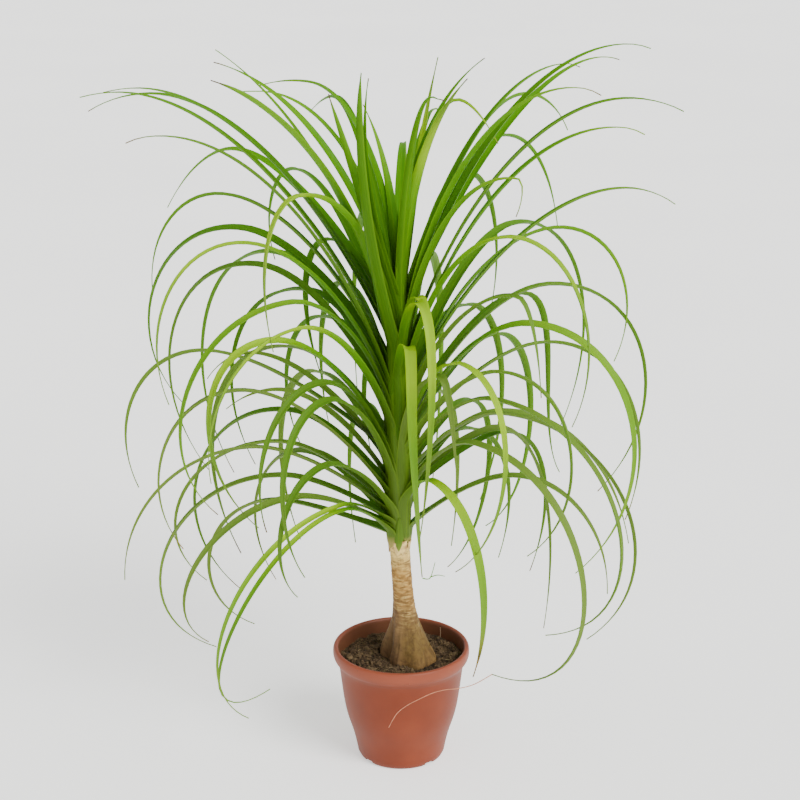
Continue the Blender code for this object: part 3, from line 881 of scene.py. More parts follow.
@dataclass
class SwollenTrunk:
    """A bare leaning stem on a base swollen into lobes, ringed above and fissured below."""
    finish: RingedBark
    bottom: float
    top: float
    soil_height: float = 0.1065
    neck_radius: float = 0.0100
    base_radius: float = 0.0225
    base_offset: Vector = field(default_factory=lambda: Vector((0.0075, 0.0015)))
    top_offset: Vector = field(default_factory=lambda: Vector((-0.0020, 0.0)))
    flare_height: float = 0.024   # how far the root lobes reach up
    draw_in: float = 0.036        # how far above the soil the swollen base draws in
    draw_in_ease: float = 0.010
    foot_taper: float = 0.45      # how much thinner the trunk's foot ends, down in the soil
    crease_depth: float = 0.0016
    crease_shade: float = 0.30    # how much darker a fold is painted, as shade
    ring_step: float = 0.0036     # from one leaf-scar ring to the next
    ring_lip: float = 0.12        # the share of a step that its upturned edge takes
    ring_depth: float = 0.00030
    flake_depth: Point2 = (0.00015, 0.00036)    # on the base and on the stem
    knot_depth: Point2 = (0.0006, 0.0003)
    plate_depth: float = 0.00035
    sides: int = 190
    rings: int = 420
    # azimuth and half width in degrees, swelling in metres
    lobes: tuple[Point3, ...] = (
        (-15.0, 28.0, 0.0070), (-66.0, 24.0, 0.0085), (-126.0, 17.0, 0.0035),
        (-164.0, 11.0, -0.0040), (158.0, 18.0, 0.0105), (58.0, 30.0, 0.0060))

    def axis(self, height: float) -> Vector:
        """Middle of the trunk at a height."""
        share = (height - self.soil_height) / (self.top - self.soil_height)
        return self.base_offset.lerp(self.top_offset, min(1.0, max(0.0, share)) ** 0.9)

    def radius(self, height: float, azimuth: float) -> float:
        """Smooth radius of the trunk, root lobes included.

        Args:
            height: the height.
            azimuth: the azimuth in degrees.

        Returns:
            The radius.
        """
        above = (height - self.soil_height) / self.flare_height
        flare = math.exp(-above ** 1.35) if above > 0.0 else 1.0
        spread = 1.0 / (1.0 + math.exp((height - self.soil_height - self.draw_in)
                                       / self.draw_in_ease))
        radius = self.neck_radius
        radius += (self.base_radius - self.neck_radius) * (0.45 * flare + 0.55 * spread)
        for lobe_azimuth, half_width, swelling in self.lobes:
            away = (azimuth - lobe_azimuth + 180.0) % 360.0 - 180.0
            radius += swelling * flare ** 0.8 * math.exp(-(away / half_width) ** 2)
        below = max(0.0, self.soil_height - height) / (self.soil_height - self.bottom)
        return radius * (1.0 - self.foot_taper * below ** 2)

    def crease(self, spot: Vector, height: float) -> float:
        """How deep a spot lies in one of the upright folds of the swollen base.

        Args:
            spot: a point on the smooth surface.
            height: its height.

        Returns:
            0 on the open surface to 1 in the middle of a fold.
        """
        fold = noise.noise(Vector((spot.x * 125.0, spot.y * 125.0, spot.z * 13.0)))
        fade = smooth_step(self.soil_height + 0.060, self.soil_height + 0.018, height)
        return fade * smooth_step(0.02, -0.34, fold)

    def relief(self, spot: Vector, height: float) -> float:
        """Height of the bark above its smooth surface: scar rings above, fissures below.

        Args:
            spot: a point on the smooth surface.
            height: its height.

        Returns:
            The height.
        """
        stem = smooth_step(self.soil_height + 0.022, self.soil_height + 0.050, height)
        wobble = noise.noise(spot * 90.0) * 0.0030
        turn = (height + wobble) / self.ring_step
        step = turn - math.floor(turn)
        ring = (1.0 - step) ** 2 if step > self.ring_lip else step / self.ring_lip * 0.77
        flake = noise.noise(Vector((spot.x * 240.0, spot.y * 240.0, spot.z * 420.0)))
        plates = noise.noise(Vector((spot.x * 330.0, spot.y * 330.0, spot.z * 55.0)))
        knots = noise.noise(spot * 120.0 + Vector((3.1, 0.0, 0.0)))
        bark = self.ring_depth * ring
        ringed = bark + self.flake_depth[1] * flake + self.knot_depth[1] * knots
        bark = self.plate_depth * min(0.25, plates)
        cracked = bark + self.knot_depth[0] * knots + self.flake_depth[0] * flake
        return blend(cracked, ringed, stem)

    def build(self) -> None:
        """Loft the trunk with its bark relief and dress it."""
        heights = np.linspace(self.bottom, self.top, self.rings)
        rings = np.zeros((self.rings, self.sides, 3))
        creases = np.zeros((self.rings, self.sides))
        for i, height in enumerate(heights):
            middle = self.axis(height)
            for j in range(self.sides):
                azimuth = 360.0 * j / self.sides
                angle = math.radians(azimuth)
                smooth = self.radius(height, azimuth)
                around = Vector((math.cos(angle), math.sin(angle)))
                spot = Vector((*(middle + around * smooth), height))
                creases[i, j] = self.crease(spot, height)
                radius = smooth + self.relief(spot, height) - self.crease_depth * creases[i, j]
                rings[i, j] = (*(middle + around * radius), height)
        trunk = new_object("bark_trunk", lofted_mesh("bark_trunk", rings))
        mark(trunk.data, "crease", [*(self.crease_shade * creases).ravel(), 0.0, 0.0])
        trunk.data.materials.append(self.finish.material())
        shade(trunk.data, 60.0)
        place(trunk, "bark", "trunk")


# ---------------------------------------------------------------------------- soil


@dataclass
class PottingSoil:
    """The soil that fills the pot, with a hole for the trunk and loose crumbs and fibres on top."""
    finish: PeatSoil
    pot: NurseryPot
    trunk: SwollenTrunk
    level: float = 0.1065
    sides: int = 260
    surface_rings: int = 84
    hummock_height: float = 0.0018
    clod_height: float = 0.0030
    grit_height: float = 0.0016
    bank_spot: Point2 = (-0.004, -0.027)
    bank_height: float = 0.0030
    bank_spread: float = 0.011
    hair_spot: Point2 = (0.0405, 0.044)
    hair_ends: Point2 = (0.1040, 0.1190)
    hair_radius: float = 0.00028
    seed: int = 5

    def height_at(self, x: float, y: float) -> float:
        """Height of the crumbled surface: hummocks, clods, grit and a bank before the trunk.

        Args:
            x: the place across.
            y: the place in depth.

        Returns:
            The height.
        """
        broad = noise.noise(Vector((x * 38.0, y * 38.0, 0.3)))
        clods = noise.noise(Vector((x * 110.0, y * 110.0, 1.7)))
        crumbs = noise.turbulence(Vector((x * 330.0, y * 330.0, 4.2)), 3, False)
        off = (x - self.bank_spot[0]) ** 2 + (y - self.bank_spot[1]) ** 2
        banked = self.bank_height * math.exp(-off / self.bank_spread ** 2)
        return (self.level + self.hummock_height * broad + self.clod_height * clods
                + self.grit_height * (crumbs - 0.5) + banked)

    def outline(self, azimuth: float, height: float) -> tuple[Vector, Vector]:
        """Edge of the trunk's hole and edge of the pot's inside, seen from the trunk's axis.

        Args:
            azimuth: direction from the axis, in degrees.
            height: the height.

        Returns:
            The point on the hole's edge and the one on the pot's inside.
        """
        angle = math.radians(azimuth)
        around = Vector((math.cos(angle), math.sin(angle)))
        middle = self.trunk.axis(height)
        hole = middle + around * (self.trunk.radius(height, azimuth) + GAP + 0.0004)
        inside = self.inside_radius(height)
        reach = -middle.dot(around) + math.sqrt(
            middle.dot(around) ** 2 - middle.length_squared + inside ** 2)
        return hole, middle + around * reach

    def inside_radius(self, height: float) -> float:
        """Radius of the pot's inside at a height, less the gap.

        Args:
            height: the height.

        Returns:
            The radius.
        """
        pot = self.pot
        neck = pot.wall_radius(pot.neck_height) - pot.wall
        if height < pot.neck_height:
            return pot.wall_radius(max(height, 0.0045)) - pot.wall - GAP
        share = (height - pot.neck_height) / (pot.height - pot.lip_drop - pot.neck_height)
        return blend(neck, pot.lip_inner_radius, min(1.0, share)) - GAP

    def body(self) -> bpy.types.Object:
        """Loft the soil's body: up the hole, across the top and down the pot's wall.

        Returns:
            The body, with each point's room to the surface's edges as an attribute.
        """
        hole_levels = np.linspace(self.trunk.bottom - GAP, self.level - 0.001, 8)
        wall_levels = np.linspace(self.level - 0.002, self.pot.base_thickness + GAP, 12)
        azimuths = [360.0 * j / self.sides for j in range(self.sides)]
        # an outline gives the hole's edge first and the wall's second
        hole, wall = (
            [[(*self.outline(azimuth, level)[edge], level) for azimuth in azimuths]
             for level in levels] for edge, levels in enumerate((hole_levels, wall_levels)))
        surface = np.zeros((self.surface_rings, self.sides, 3))
        room = np.zeros((self.surface_rings, self.sides))
        for j, azimuth in enumerate(azimuths):
            near, far = self.outline(azimuth, self.level)
            for i in range(self.surface_rings):
                share = i / (self.surface_rings - 1.0)
                spot = near.lerp(far, share)
                surface[i, j] = (spot.x, spot.y, self.height_at(spot.x, spot.y))
                room[i, j] = min(share, 1.0 - share) * (far - near).length
        mesh = lofted_mesh("peat_body", np.concatenate((hole, surface, wall))[::-1])
        room = np.pad(room, ((len(hole), len(wall)), (0, 0)))[::-1]
        mark(mesh, "room", [*room.ravel(), 0.0, 0.0])
        soil = new_object("peat_body", mesh)
        mesh.materials.append(self.finish.material())
        shade(mesh, 70.0)
        return soil

    def lump(self, name: str, draws: random.Random, flat: float) -> bpy.types.Object:
        """A crumb about 1 m across, to be scattered small: a dented ball of 40 faces.

        Args:
            name: the object's name.
            draws: draws of its dents.
            flat: its height over its length.

        Returns:
            The crumb.
        """
        ball = bmesh.new()
        bmesh.ops.create_uvsphere(ball, u_segments=8, v_segments=5, radius=0.5)
        offset = Vector([draws.uniform(0.0, 50.0) for _ in range(3)])
        for vertex in ball.verts:
            swell = 1.0 + 0.6 * noise.noise(vertex.co * 2.6 + offset)
            vertex.co = Vector((vertex.co.x * swell, vertex.co.y * swell * 0.8,
                                vertex.co.z * swell * flat))
        mesh = bpy.data.meshes.new(name)
        ball.to_mesh(mesh)
        ball.free()
        return new_object(name, mesh)

    def fibre(self, name: str, draws: random.Random) -> bpy.types.Object:
        """A bent fibre about 1 m long, to be scattered small: a three-sided thread.

        Args:
            name: the object's name.
            draws: draws of its bends.

        Returns:
            The fibre.
        """
        bend = draws.uniform(0.25, 0.9)
        hook = draws.uniform(-0.4, 0.4)
        shares = np.linspace(-0.5, 0.5, 7)
        spine = [Vector((share, bend * (share * share - 0.1), hook * share ** 3 + 0.03))
                 for share in shares]
        return tube(name, spine, 0.030 * (1.0 - 2.56 * shares ** 2), 3,
                    (Vector((0.0, 1.0, 0.0)), Vector((0.0, 0.0, 1.0))))

    @staticmethod
    def scatter_tree(name: str) -> bpy.types.NodeTree:
        """Geometry Nodes that strew shapes over a surface, with room between them and its edges.

        Args:
            name: the tree's name.

        Returns:
            The tree.
        """
        tree, node, given = geometry_tree(name, {
            "Shapes": "Collection", "Density": "Float", "Smallest": "Float", "Largest": "Float",
            "Room": "Float", "Tilt": "Float", "Seed": "Int", "Material": "Material"})
        room = node("GeometryNodeInputNamedAttribute", {"Name": "room"}, data_type="FLOAT")
        chosen = node("ShaderNodeMath", {0: room, 1: given["Room"]}, operation="GREATER_THAN")
        points = node("GeometryNodeDistributePointsOnFaces", {
            "Mesh": given["Geometry"], "Selection": chosen, "Density": given["Density"],
            "Seed": given["Seed"]})
        copies = node("GeometryNodeCollectionInfo", {
            "Collection": given["Shapes"], "Separate Children": True, "Reset Children": True})
        lean = given["Tilt"]
        back = node("ShaderNodeMath", {0: lean, 1: -1.0}, operation="MULTIPLY")
        least = node("ShaderNodeCombineXYZ", {"X": back, "Y": back})
        most = node("ShaderNodeCombineXYZ", {"X": lean, "Y": lean, "Z": 6.283})
        turn = node("FunctionNodeRandomValue", {"Min": least, "Max": most, "Seed": given["Seed"]},
                    data_type="FLOAT_VECTOR")
        size = node("FunctionNodeRandomValue", {
            2: given["Smallest"], 3: given["Largest"], "Seed": given["Seed"]}, data_type="FLOAT")
        strewn = node("GeometryNodeInstanceOnPoints", {
            "Points": points, "Instance": copies, "Pick Instance": True, "Rotation": turn,
            "Scale": size})
        close_tree(node, strewn, given)
        return tree

    def scatter(self, name: str, soil: bpy.types.Object, shapes: list[bpy.types.Object],
                **values: Any) -> bpy.types.Object:
        """Strew copies of some shapes over the soil's surface.

        Args:
            name: the new piece's name.
            soil: the soil's body.
            shapes: the shapes, each about a metre across; they are cleared away at the end.
            values: the scatter tree's named inputs, but for the shapes.

        Returns:
            One plain mesh of all the copies.
        """
        group = bpy.data.collections.new(f"{name}_shapes")
        for shape in shapes:
            group.objects.link(shape)
        piece = new_object(name, soil.data.copy())
        run_tree(piece, self.scatter_tree(f"{name}_scatter"), {"Shapes": group, **values})
        for shape in shapes:
            bpy.data.objects.remove(shape, do_unlink=True)
        bpy.data.collections.remove(group)
        return piece

    def lone_hair(self) -> bpy.types.Object:
        """A pale hair that stands in the soil at the back.

        Returns:
            The hair.
        """
        x, y = self.hair_spot
        shares = np.linspace(0.0, 1.0, 12)
        spine = [Vector((x + 0.0008 * math.sin(2.6 * share), y, blend(*self.hair_ends, share)))
                 for share in shares]
        hair = tube("lone_hair", spine, self.hair_radius * (1.0 - 0.5 * shares), 5,
                    (Vector((1.0, 0.0, 0.0)), Vector((0.0, 1.0, 0.0))))
        hair.data.materials.append(DryFibre("#BBA083", "#A18A6C").material("pale_hair"))
        shade(hair.data)
        return hair

    def build(self) -> None:
        """Build the soil's body and strew its crumbs, bark bits and fibres."""
        draws = random.Random(self.seed)
        soil = self.body()
        crumbs = self.scatter(
            "peat_crumbs", soil, [self.lump(f"crumb_{i}", draws, 0.75) for i in range(5)],
            Density=90000.0, Smallest=0.0010, Largest=0.0042, Room=0.0022, Tilt=0.7,
            Seed=self.seed, Material=self.finish.material("peat_crumb", 0.05))
        chips = self.scatter(
            "bark_bits", soil, [self.lump(f"chip_{i}", draws, 0.30) for i in range(4)],
            Density=9000.0, Smallest=0.0040, Largest=0.0100, Room=0.0060, Tilt=0.4,
            Seed=self.seed + 1, Material=self.finish.material("bark_bit", 0.07))
        fibres = self.scatter(
            "peat_fibres", soil, [self.fibre(f"fibre_{i}", draws) for i in range(5)],
            Density=7000.0, Smallest=0.005, Largest=0.013, Room=0.0070, Tilt=0.3,
            Seed=self.seed + 2, Material=DryFibre("#8A7550", "#57462C").material("peat_fibre"))
        for lumps in (crumbs, chips):
            shade(lumps.data, 50.0)
        place(soil, "soil", "soil")
        for piece in (crumbs, chips, fibres, self.lone_hair()):
            place(piece, "soil")


# ---------------------------------------------------------------------------- leaves


class Tone(Enum):
    """How pale a leaf is, from shaded and old to sunlit and young."""
    DEEP = 0.22
    OLIVE = 0.34
    FRESH = 0.50
    BRIGHT = 0.66
    LIME = 0.88


DEEP, OLIVE, FRESH, BRIGHT, LIME = Tone


class Leaf(NamedTuple):
    """One strap leaf, in the upright plane at its azimuth.

    crest and tip are (reach from the stem's axis, height). hang is how far the tip points below
    the horizontal, in degrees. A leaf that still rises at its tip has no crest and a negative hang.
    A blunter leaf stays broad further along. sway is how far it bends to the side half way, and
    withered is how much of its length has dried.
    """
    azimuth: float
    crest: Optional[Point2]
    tip: Point2
    hang: float
    tone: Tone = FRESH
    width: float = 1.0
    blunt: float = 2.1
    sway: float = 0.0
    withered: float = 0.0


# The leaves that make the plant's outline, from the lowest up, a tier of the stem to each list
SKIRT = (
    Leaf(215, (0.070, 0.285), (0.155, 0.115), 195, LIME, 0.75, sway=0.010),
    Leaf(158, (0.125, 0.260), (0.165, 0.115), 170, OLIVE),
    Leaf(352, (0.115, 0.310), (0.210, 0.190), 90),
    Leaf(205, (0.115, 0.300), (0.205, 0.165), 145),
    Leaf(222, (0.070, 0.290), (0.195, 0.105), 145, LIME, 0.60, sway=-0.010),
    Leaf(175, (0.115, 0.300), (0.190, 0.110), 165),
    Leaf(230, (0.110, 0.345), (0.150, 0.225), 135, DEEP),
    Leaf(186, (0.145, 0.340), (0.275, 0.205), 90, OLIVE),
    Leaf(172, (0.120, 0.335), (0.200, 0.180), 145),
    Leaf(305, (0.055, 0.315), (0.125, 0.135), 112, LIME, 0.85, 4.0, withered=0.10),
    Leaf(320, (0.095, 0.360), (0.120, 0.125), 180),
)
LOWER = (
    Leaf(198, (0.165, 0.410), (0.220, 0.255), 125, OLIVE),
    Leaf(232, (0.110, 0.410), (0.145, 0.245), 125, DEEP),
    Leaf(35, (0.125, 0.325), (0.170, 0.160), 115, DEEP),
    Leaf(180, (0.120, 0.395), (0.170, 0.375), 42),
    Leaf(28, (0.110, 0.335), (0.175, 0.100), 100, OLIVE),
    Leaf(225, (0.110, 0.425), (0.175, 0.295), 110, DEEP),
    Leaf(10, (0.100, 0.365), (0.240, 0.215), 80),
    Leaf(342, (0.105, 0.380), (0.195, 0.155), 140, OLIVE),
    Leaf(62, (0.135, 0.340), (0.110, 0.165), 180, DEEP),
    Leaf(165, (0.150, 0.420), (0.200, 0.390), 58),
    Leaf(330, (0.100, 0.400), (0.165, 0.170), 165),
    Leaf(300, (0.085, 0.430), (0.110, 0.330), 85, OLIVE),
    Leaf(205, (0.135, 0.460), (0.150, 0.275), 135, LIME),
    Leaf(325, (0.125, 0.435), (0.150, 0.255), 140),
    Leaf(165, (0.195, 0.420), (0.280, 0.265), 115, OLIVE),
    Leaf(305, (0.100, 0.445), (0.095, 0.235), 145, LIME, 0.80),
    Leaf(5, (0.145, 0.440), (0.230, 0.250), 110),
    Leaf(338, (0.135, 0.475), (0.185, 0.230), 135, BRIGHT),
    Leaf(222, (0.125, 0.480), (0.230, 0.355), 100, LIME),
)
MIDDLE = (
    Leaf(60, (0.185, 0.400), (0.190, 0.185), 185, DEEP),
    Leaf(10, (0.150, 0.495), (0.205, 0.275), 135),
    Leaf(40, (0.155, 0.465), (0.225, 0.255), 55, DEEP),
    Leaf(208, (0.115, 0.497), (0.195, 0.300), 135, BRIGHT),
    Leaf(318, (0.145, 0.515), (0.175, 0.425), 85, OLIVE),
    Leaf(160, (0.150, 0.508), (0.210, 0.285), 130, OLIVE),
    Leaf(125, (0.115, 0.440), (0.185, 0.285), 135, DEEP),
    Leaf(110, (0.060, 0.405), (0.085, 0.300), 115, DEEP),
    Leaf(8, (0.155, 0.552), (0.215, 0.415), 115, BRIGHT),
    Leaf(192, (0.155, 0.550), (0.225, 0.395), 110, LIME),
    Leaf(325, (0.130, 0.565), (0.195, 0.395), 115, LIME),
    Leaf(200, (0.235, 0.660), (0.260, 0.655), 25, OLIVE),
    Leaf(355, (0.215, 0.600), (0.260, 0.585), 36),
    Leaf(140, (0.115, 0.475), (0.200, 0.270), 130, DEEP),
    Leaf(325, (0.130, 0.620), (0.130, 0.585), 115, BRIGHT, 1.15),
    Leaf(286, (0.058, 0.455), (0.080, 0.229), 90, LIME, 1.0, 3.5, -0.011),
    Leaf(165, (0.180, 0.580), (0.255, 0.475), 95, OLIVE),
    Leaf(335, (0.220, 0.670), (0.240, 0.665), 27, BRIGHT),
    Leaf(290, (0.069, 0.500), (0.059, 0.260), 115, LIME, 0.85, 2.1, -0.004),
    Leaf(290, (0.050, 0.500), (0.091, 0.375), 88, LIME, 0.85, 2.5),
)
UPPER = (
    Leaf(178, (0.265, 0.685), (0.300, 0.680), 15, OLIVE),
    Leaf(215, None, (0.200, 0.715), -20, FRESH, 1.50, 5.0),
    Leaf(345, (0.220, 0.690), (0.265, 0.680), 26, OLIVE),
    Leaf(222, (0.120, 0.605), (0.155, 0.465), 105, LIME, 1.10),
    Leaf(235, None, (0.060, 0.712), -105, DEEP, 1.45, 6.0),
    Leaf(330, (0.185, 0.705), (0.205, 0.700), 26, BRIGHT),
    Leaf(165, (0.245, 0.675), (0.315, 0.655), 32, OLIVE),
    Leaf(190, None, (0.170, 0.730), -35),
    Leaf(12, (0.220, 0.725), (0.245, 0.720), 23, OLIVE),
    Leaf(172, (0.250, 0.685), (0.285, 0.680), 15, OLIVE),
    Leaf(200, (0.140, 0.695), (0.155, 0.695), 10),
    Leaf(135, (0.090, 0.530), (0.110, 0.380), 120, DEEP),
    Leaf(30, (0.185, 0.700), (0.205, 0.695), 27, OLIVE),
    Leaf(285, (0.120, 0.700), (0.150, 0.702), 0, OLIVE, 0.90, 2.2),
    Leaf(310, None, (0.095, 0.710), -40, LIME, 1.05, 3.0),
    Leaf(55, (0.170, 0.620), (0.300, 0.500), 75, OLIVE),
    Leaf(225, None, (0.090, 0.695), -70, OLIVE, 1.30, 4.0),
    Leaf(40, (0.265, 0.695), (0.295, 0.690), 19),
)
HEART = (
    Leaf(160, None, (0.190, 0.705), -10),
    Leaf(35, None, (0.100, 0.710), -25, OLIVE),
    Leaf(25, (0.060, 0.675), (0.105, 0.630), 60, BRIGHT),
    Leaf(140, (0.115, 0.685), (0.180, 0.675), 18),
    Leaf(236, None, (0.050, 0.706), -105, OLIVE, 0.90, 3.0),
    Leaf(80, (0.210, 0.635), (0.265, 0.620), 30, OLIVE),
    Leaf(60, None, (0.075, 0.710), -60, LIME),
    Leaf(120, None, (0.070, 0.665), -40),
)


@dataclass
class LeafCrown:
    """The green stem and its strap leaves, which clasp it in a spiral and arch over."""
    finish: LeafSkin
    foot: float
    axis: Vector
    core_top: float = 0.508
    neck_radius: float = 0.0100
    core_waist: float = 0.0125
    core_sides: int = 40
    lowest_root: float = 0.238
    highest_root: float = 0.496
    root_reach: float = 0.0040
    blade_width: float = 0.0130
    tip_width: float = 0.0012
    rise_factor: float = 1.45     # steepness at the root over the slope to the crest
    upright_crest: float = 0.65   # where along its length a leaf with no crest is palest, its painted highlight
    twist_most: float = 50.0
    sheath_length: float = 0.022  # how far below its root a leaf's clasping base begins
    sheath_taper: float = 0.045
    sheath_lowest: float = 0.2325
    sheath_front: float = 0.016   # how much further it runs down on the open front
    sheath_foot: float = 0.011    # how far it takes to widen from its pointed foot
    sheath_wrap: float = 0.66     # its half width over the stem's radius
    lift: Point2 = (0.0019, 0.0005)     # clearance from the stem, of the lowest and highest base
    old_bases: int = 9
    base_half_width: Point2 = (0.0030, 0.0052)  # of the narrowest and widest old base
    base_clearance: Point2 = (0.0011, 0.0024)   # at an old base's lower and upper end
    stub_azimuth: float = 268.0
    stub_ends: Point2 = (-0.0065, 0.0300)       # heights over the stem's foot
    stub_clearance: Point2 = (0.0031, 0.0027)
    stub_half_width: float = 0.0052
    thread_half_width: float = 0.0006
    steps: int = 50               # pieces of a blade's length, and of its base's
    sheath_steps: int = 5
    spiral_count: int = 62
    # of the spiral's lowest and highest leaves
    spiral_root: Point2 = (0.245, 0.478)
    spiral_reach: Point2 = (0.110, 0.190)       # from the stem's axis to the crest
    spiral_rise: Point2 = (0.055, 0.180)        # from the root up to the crest
    spiral_onward: Point2 = (0.065, 0.085)      # from the crest on to the tip
    spiral_drop: Point2 = (0.150, 0.230)        # from the crest down to the tip
    back_azimuths: Point2 = (42.0, 158.0)
    # corner points in metres along the threads that the foremost leaf's tip folds into
    tip_threads: tuple[tuple[Point3, ...], ...] = (
        ((0.0205, -0.0790, 0.2290), (0.0279, -0.0790, 0.2292), (0.0327, -0.0780, 0.2452)),
        ((0.0276, -0.0792, 0.2300), (0.0350, -0.0790, 0.2322), (0.0424, -0.0790, 0.2309)))
    seed: int = 11

    def core_outline(self) -> list[Point2]:
        """Radius and height up the green stem.

        Returns:
            The points, from the foot up.
        """
        return [(self.neck_radius, self.foot), (self.neck_radius + 0.0008, 0.270),
                (self.core_waist, 0.330), (self.core_waist, 0.400), (0.0085, 0.468),
                (0.0050, self.core_top - 0.003), (0.0010, self.core_top)]

    def core_radius(self, heights: Any) -> Any:
        """Radius of the green stem at one height or many, straight down below its foot."""
        outline = self.core_outline()
        return np.interp(heights, [z for _, z in outline], [radius for radius, _ in outline])

    def outline_leaves(self) -> list[tuple[float, Leaf]]:
        """The listed leaves, which start in even steps up the stem.

        Returns:
            Root height and leaf, from the lowest up.
        """
        leaves = [*SKIRT, *LOWER, *MIDDLE, *UPPER, *HEART]
        last = len(leaves) - 1
        return [(blend(self.lowest_root, self.highest_root, i / last), leaf)
                for i, leaf in enumerate(leaves)]

    def spiral_leaves(self) -> list[tuple[float, Leaf]]:
        """The golden-angle spiral's leaves in the back of the crown.

        Returns:
            Root height and leaf, from the lowest up.
        """
        draws = random.Random(self.seed)
        leaves = []
        for i in range(self.spiral_count):
            azimuth = (i * GOLDEN_ANGLE) % 360.0
            age = i / (self.spiral_count - 1.0)
            vary = [draws.uniform(-1.0, 1.0) for _ in range(5)]
            if not self.back_azimuths[0] < azimuth < self.back_azimuths[1]:
                continue
            root = blend(*self.spiral_root, age)
            crest_reach = blend(*self.spiral_reach, age) * (1.0 + 0.20 * vary[0])
            crest_height = root + blend(*self.spiral_rise, age ** 1.1) * (1.0 + 0.15 * vary[1])
            tip_reach = crest_reach + blend(*self.spiral_onward, age) * (1.0 + 0.30 * vary[2])
            drop = blend(*self.spiral_drop, min(1.0, 2.0 * age))
            # the youngest leaves, in the heart, hardly hang yet
            drop *= min(1.0, 2.15 * (1.0 - age) + 0.12)
            tip_height = crest_height - drop * (1.0 + 0.20 * vary[3])
            fall = math.atan2(crest_height - tip_height, tip_reach - crest_reach)
            hang = 1.9 * math.degrees(fall) + 15.0 * vary[4]
            leaf = Leaf(azimuth, (crest_reach, crest_height), (tip_reach, tip_height), hang,
                        (DEEP, OLIVE, FRESH)[i % 3])
            leaves.append((root, leaf))
        return leaves

    @staticmethod
    def bow(start: Vector, start_slope: float, end: Vector, end_slope: float,
            steps: int) -> list[Vector]:
        """Points on one bow between two points.

        Args:
            start: first point.
            start_slope: direction there, in radians above the horizontal.
            end: last point.
            end_slope: direction there.
            steps: pieces between them.

        Returns:
            The points, both ends included.
        """
        chord = end - start
        along = math.atan2(chord.y, chord.x)
        opening = start_slope - along
        closing = along - end_slope
        turn = abs(opening + closing)
        leave_reach = arrive_reach = chord.length / 3.0
        if opening * closing > 0.0 and turn > 0.001:
            scale = chord.length * 2.0 / 3.0 * math.tan(turn / 4.0) / math.sin(turn / 2.0) ** 2
            leave_reach = scale * math.sin(abs(closing))
            arrive_reach = scale * math.sin(abs(opening))
        leave = start + leave_reach * Vector((math.cos(start_slope), math.sin(start_slope)))
        arrive = end - arrive_reach * Vector((math.cos(end_slope), math.sin(end_slope)))
        points = []
        for i in range(steps + 1):
            t = i / steps
            points.append(start * (1 - t) ** 3 + leave * 3 * (1 - t) ** 2 * t
                          + arrive * 3 * (1 - t) * t * t + end * t ** 3)
        return points

    def midrib(self, leaf: Leaf, root_height: float, sheath: float,
               lift: float) -> tuple[np.ndarray, np.ndarray, np.ndarray]:
        """The leaf's midrib: up the stem's surface, off it, over the crest and down to the tip.

        Args:
            leaf: the leaf.
            root_height: the height it leaves the stem's middle at.
            sheath: how far below that its clasping base begins.
            lift: clearance of the base from the stem.

        Returns:
            Reach and height of each point, and its distance from the root over the leaf's length,
            which is below 0 in the clasping base.
        """
        root = Vector((self.root_reach, root_height))
        tip = Vector(leaf.tip)
        hang = -math.radians(leaf.hang)
        if leaf.crest is None:
            chord = tip - root
            along = math.atan2(chord.y, chord.x)
            fine = self.bow(root, along + 0.6 * (along - hang), tip, hang, 200)
        else:
            crest = Vector(leaf.crest)
            rise = crest - root
            slope = min(self.rise_factor * math.atan2(rise.y, rise.x), math.radians(88.0))
            fine = self.bow(root, slope, crest, 0.0, 120) + self.bow(crest, 0.0, tip, hang, 140)[1:]
        lengths = np.cumsum([0.0] + [(b - a).length for a, b in zip(fine, fine[1:])])
        shares = np.linspace(0.0, 1.0, self.steps + 1) ** 1.15
        reach = np.interp(shares * lengths[-1], lengths, [point.x for point in fine])
        height = np.interp(shares * lengths[-1], lengths, [point.y for point in fine])
        below = np.linspace(sheath, 0.0, self.sheath_steps, endpoint=False)
        shares = np.concatenate((-below / lengths[-1], shares))
        height = np.concatenate((root_height - below, height))
        reach = np.concatenate((np.full(self.sheath_steps, self.root_reach), reach))
        surface = self.core_radius(height) + lift
        clear = (reach + surface + np.sqrt((reach - surface) ** 2 + 0.003 ** 2)) / 2.0
        reach = np.where(shares < 0.4, clear - 0.0002, reach)
        return reach, height, shares

    def blade(self, leaf: Leaf, root_height: float, twist: float, looks: random.Random) -> Line:
        """One leaf as a line of points with the attributes that shape and colour its blade.

        Args:
            leaf: the leaf.
            root_height: the height it leaves the stem's middle at.
            twist: its turn about its own midrib from root to tip, in radians.
            looks: draws of its sway, clasping base, tone and dry tip.

        Returns:
            The leaf, from the foot of its clasping base to its tip.
        """
        angle = math.radians(leaf.azimuth)
        age = (root_height - self.lowest_root) / (self.highest_root - self.lowest_root)
        sway = leaf.sway + looks.uniform(-0.003, 0.003)
        # on the open front, where fewer leaves cover them, the clasping bases run further down
        front = max(0.0, -math.sin(angle))
        lowest = self.sheath_lowest + looks.uniform(-0.0045, 0.0045) - 0.0035 * front
        sheath = self.sheath_length + self.sheath_front * front + looks.uniform(-0.004, 0.004)
        sheath = max(0.004, min(sheath, root_height - lowest))
        lift = blend(*self.lift, age) + looks.uniform(-0.0002, 0.0002)
        tone = leaf.tone.value + looks.uniform(-0.06, 0.06)
        # painted shade among the packed bases: a clasping base is darker, the more so the lower the
        # leaf
        shaded_base_tone = blend(0.0, 0.42, age) + looks.uniform(-0.06, 0.06)
        withered = max(leaf.withered, looks.choice((0.0, 0.0, 0.0, 0.010, 0.025)))
        # how much paler the blade is painted at its crest, as a highlight, and how much duller a
        # pale one ends
        crest_highlight, fading = (0.22, 0.38) if leaf.tone is LIME else (0.14, 0.0)
